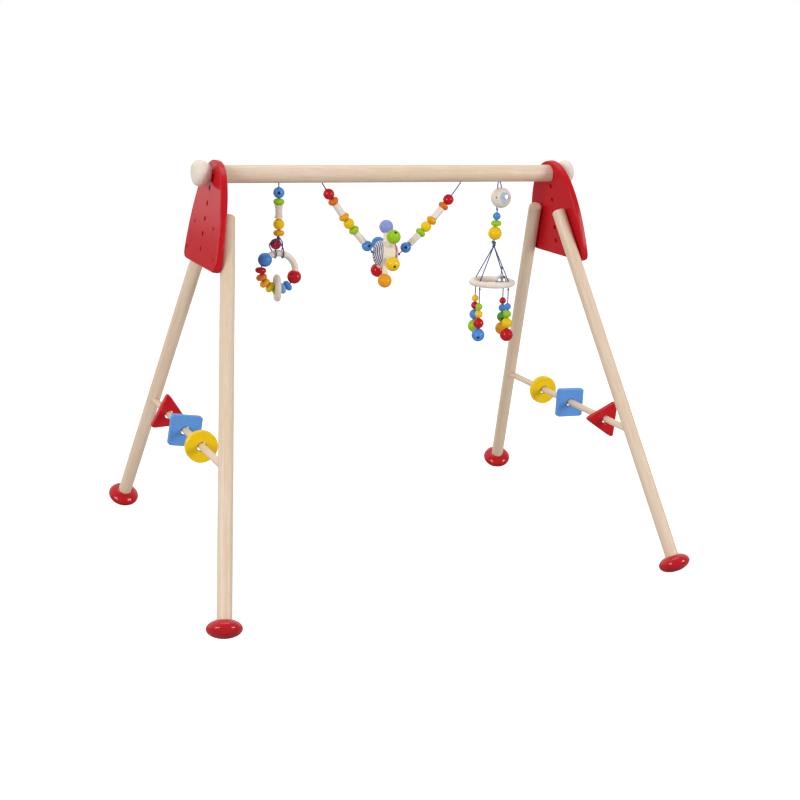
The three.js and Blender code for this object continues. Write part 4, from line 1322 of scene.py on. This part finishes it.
def mobile_top():
    """The rattle and three beads, on a string that is doubled from the bar down to the rattle."""
    body = "mobile"
    rattle()
    beads = [middle(n) for n in ("mobile_blue_bead", "mobile_green_disc", "mobile_yellow_bead")]
    x, y, z = RATTLE_CENTRE
    edge = math.sqrt(RATTLE_RADIUS**2 - (x - RATTLE_BORE_X) ** 2) - 0.5 * MM
    left = [
        (MOBILE_X - 1.4 * MM, y, EXIT_Z + CORD_START),
        (RATTLE_BORE_X, y, z + edge),
        (RATTLE_BORE_X, y, z - edge),
        MOBILE_TURN,
        *beads,
        MOBILE_KNOT,
    ]
    right = [
        (MOBILE_X + 1.4 * MM, y, EXIT_Z + CORD_START),
        (x, y, z + RATTLE_RADIUS),
        (x, y, z),
        (RATTLE_BORE_X + 2 * MM, y, z - edge + 3 * MM),
    ]
    string("mobile_string", left, body, ["mobile_cord"])
    string("mobile_string_return", right, body)
    knot("rattle_knot", Vector((170.3, 0, 498.6)) * MM, 2.1 * MM, body, 0.3)
    for name, radius, colour in (("blue", 5.9 * MM, "blue"), ("yellow", 10.3 * MM, "yellow")):
        node = f"mobile_{name}_bead"
        finish(aim(bead_ball(node, radius), Z_AXIS, middle(node)), colour, body, node)
    finish(aim(bead_lens("mobile_green_disc"), Z_AXIS, beads[1]), "green", body, "mobile_green_disc")


def on_ring(angle, height=0.0, inward=0.0):
    turn = math.radians(angle)
    return RING_CENTRE + Vector((math.cos(turn), math.sin(turn), 0)) * (RING_RADIUS - inward) + Z_AXIS * height


DANGLES = (
    ("front_left", -153, 34.2 * MM, ("green", "yellow", "bead_red", "blue")),
    ("front_right", -62, 33.5 * MM, ("blue", "green", "yellow", "bead_red")),
    ("back_right", 28, 32 * MM, ("bead_red", "blue", "dark_green", "amber")),
    ("back_left", 118, 28.5 * MM, ("yellow", "bead_red", "blue", "green")),
)
DANGLE_RADII = (5.3 * MM, 6 * MM, 8 * MM, 10 * MM)


def mobile_hoop():
    """The ring on its four strings, and the bell on a string between two of them."""
    body = "mobile_hoop"
    ring = ring_torus("mobile_ring", RING_RADIUS, RING_TUBE)
    aim(ring, Z_AXIS, RING_CENTRE)
    drills = []
    for _, angle, _, _ in DANGLES:
        drills.append(aim(hole_tool(1.6 * MM, -RING_TUBE, RING_TUBE, 0.3 * MM), Z_AXIS, on_ring(angle)))
    bpy.context.view_layer.update()
    cut_away(ring, [joined("drills", drills)])
    finish(ring, "pale_wood", body, "mobile_ring")
    low_knot = MOBILE_KNOT - Z_AXIS * 5 * MM
    knot("mobile_knot_upper", MOBILE_KNOT, 4.4 * MM, body, 0.4)
    knot("mobile_knot_middle", MOBILE_KNOT.lerp(low_knot, 0.5), 3.6 * MM, body, 1.2)
    knot("mobile_knot_lower", low_knot, 3.2 * MM, body, -0.5)
    for i, (name, angle, _, _) in enumerate(DANGLES):
        nodes = ["mobile_sling"] if i == 0 else []
        down = [low_knot, on_ring(angle, RING_TUBE - 1 * MM), on_ring(angle, -2 * MM)]
        string(f"hoop_string_{name}", down, body, nodes)
    share = (MOBILE_KNOT.z - BELL_HANG_Z) / (MOBILE_KNOT.z - RING_CENTRE.z - RING_TUBE)
    ends = [low_knot.lerp(on_ring(angle, RING_TUBE), share) for _, angle, _, _ in DANGLES[1:3]]
    hang = Vector((BELL_CENTRE.x, BELL_CENTRE.y, BELL_HANG_Z))
    sag = Z_AXIS * 1 * MM
    bridge = [ends[0], ends[0].lerp(hang, 0.8) - sag, hang, ends[1].lerp(hang, 0.8) - sag, ends[1]]
    finish(sweep("bell_bridge", smooth_path(bridge, 0.5 * MM), twisted), "cord", body)
    bell_link(hang, body)


def bell_link(hang, body):
    """The short loop that carries the bell, from the bridge to the bell's eye."""
    eye = BELL_CENTRE + Z_AXIS * (BELL_RADIUS + 1 * MM)
    path = smooth_path([hang, hang.lerp(eye, 0.5), eye], 0.5 * MM)
    finish(sweep("bell_string", path, twisted), "cord", body)


def dangle(name, angle, drop, colours):
    """Four beads on a string that is knotted under the ring."""
    body = f"dangle_{name}_body"
    height = -drop
    places = []
    for i, radius in enumerate(DANGLE_RADII):
        if i:
            height -= DANGLE_RADII[i - 1] + radius
        places.append(on_ring(angle, height))
    node = f"dangle_{name}"
    start = on_ring(angle, -RING_TUBE + 1 * MM)
    string(f"{node}_string", [start, places[0], places[-1]], body, [node])
    knot(f"{node}_knot", on_ring(angle, -RING_TUBE - 3 * MM), 2 * MM, body, angle)
    for i, (radius, finish_name) in enumerate(zip(DANGLE_RADII, colours)):
        bead_name = f"{node}_bead_{i + 1}"
        if (name, i) in (("front_left", 3), ("back_right", 2)):
            facing = Vector((-0.42, -1, -0.28)).normalized()
            side_bored_ball(bead_name, radius, facing, places[i], finish_name, body)
        else:
            finish(aim(bead_ball(bead_name, radius), Z_AXIS, places[i]), finish_name, body)


def bell_skin():
    """The outside of the bell, from below up, with a raised seam round its middle."""
    radius = BELL_RADIUS - 0.4 * MM
    rows = 30
    skin = []
    for i in range(rows + 1):
        angle = math.pi * i / rows
        seam = 0.35 * MM * math.exp(-(((angle - math.pi / 2) / 0.09) ** 2))
        skin.append(((radius + seam) * math.sin(angle), -radius * math.cos(angle)))
    return skin


def bell():
    """A jingle bell: a plated shell with a seam, a cross slot below and an eye on top."""
    body = "bell_body"
    outer = revolve("bell", bell_skin(), 48)
    hollow = revolve("hollow", [(r * 0.88, z * 0.88) for r, z in bell_skin()], 32)
    cutters = [hollow]
    for turn in (0.3, 0.3 + math.pi / 2):
        bpy.ops.mesh.primitive_cube_add(size=1)
        slot = bpy.context.object
        slot.scale = (1.5 * BELL_RADIUS, 1.5 * MM, BELL_RADIUS)
        slot.rotation_euler = (0, 0, turn)
        slot.location = (0, 0, -0.8 * BELL_RADIUS)
        cutters.append(slot)
    cut_away(outer, cutters)
    finish(aim(outer, Z_AXIS, BELL_CENTRE), "steel", body, "bell")
    eye = ring_torus("bell_eye", 1.5 * MM, 0.4 * MM, 32, 12)
    finish(aim(eye, Y_AXIS, BELL_CENTRE + Z_AXIS * (BELL_RADIUS + 0.7 * MM)), "steel", body)
    pellet = revolve("bell_pellet", ball_profile(2.2 * MM, 0, 0, 12), 24)
    finish(aim(pellet, Z_AXIS, BELL_CENTRE - Z_AXIS * 5 * MM), "steel", body)


# ---------------------------------------------------------------- assembly
add_camera()
add_studio()
add_floor()
grasping_ring(hanging_pendant())
garland()
mobile_top()
mobile_hoop()
for dangle_facts in DANGLES:
    dangle(*dangle_facts)
bell()
spinner()
crossbar()
for knob_side, knob_sign in (("left", -1), ("right", 1)):
    knob(knob_side, knob_sign)
    knob_bolt(knob_side, knob_sign)
side_frames()
rung_shapes()
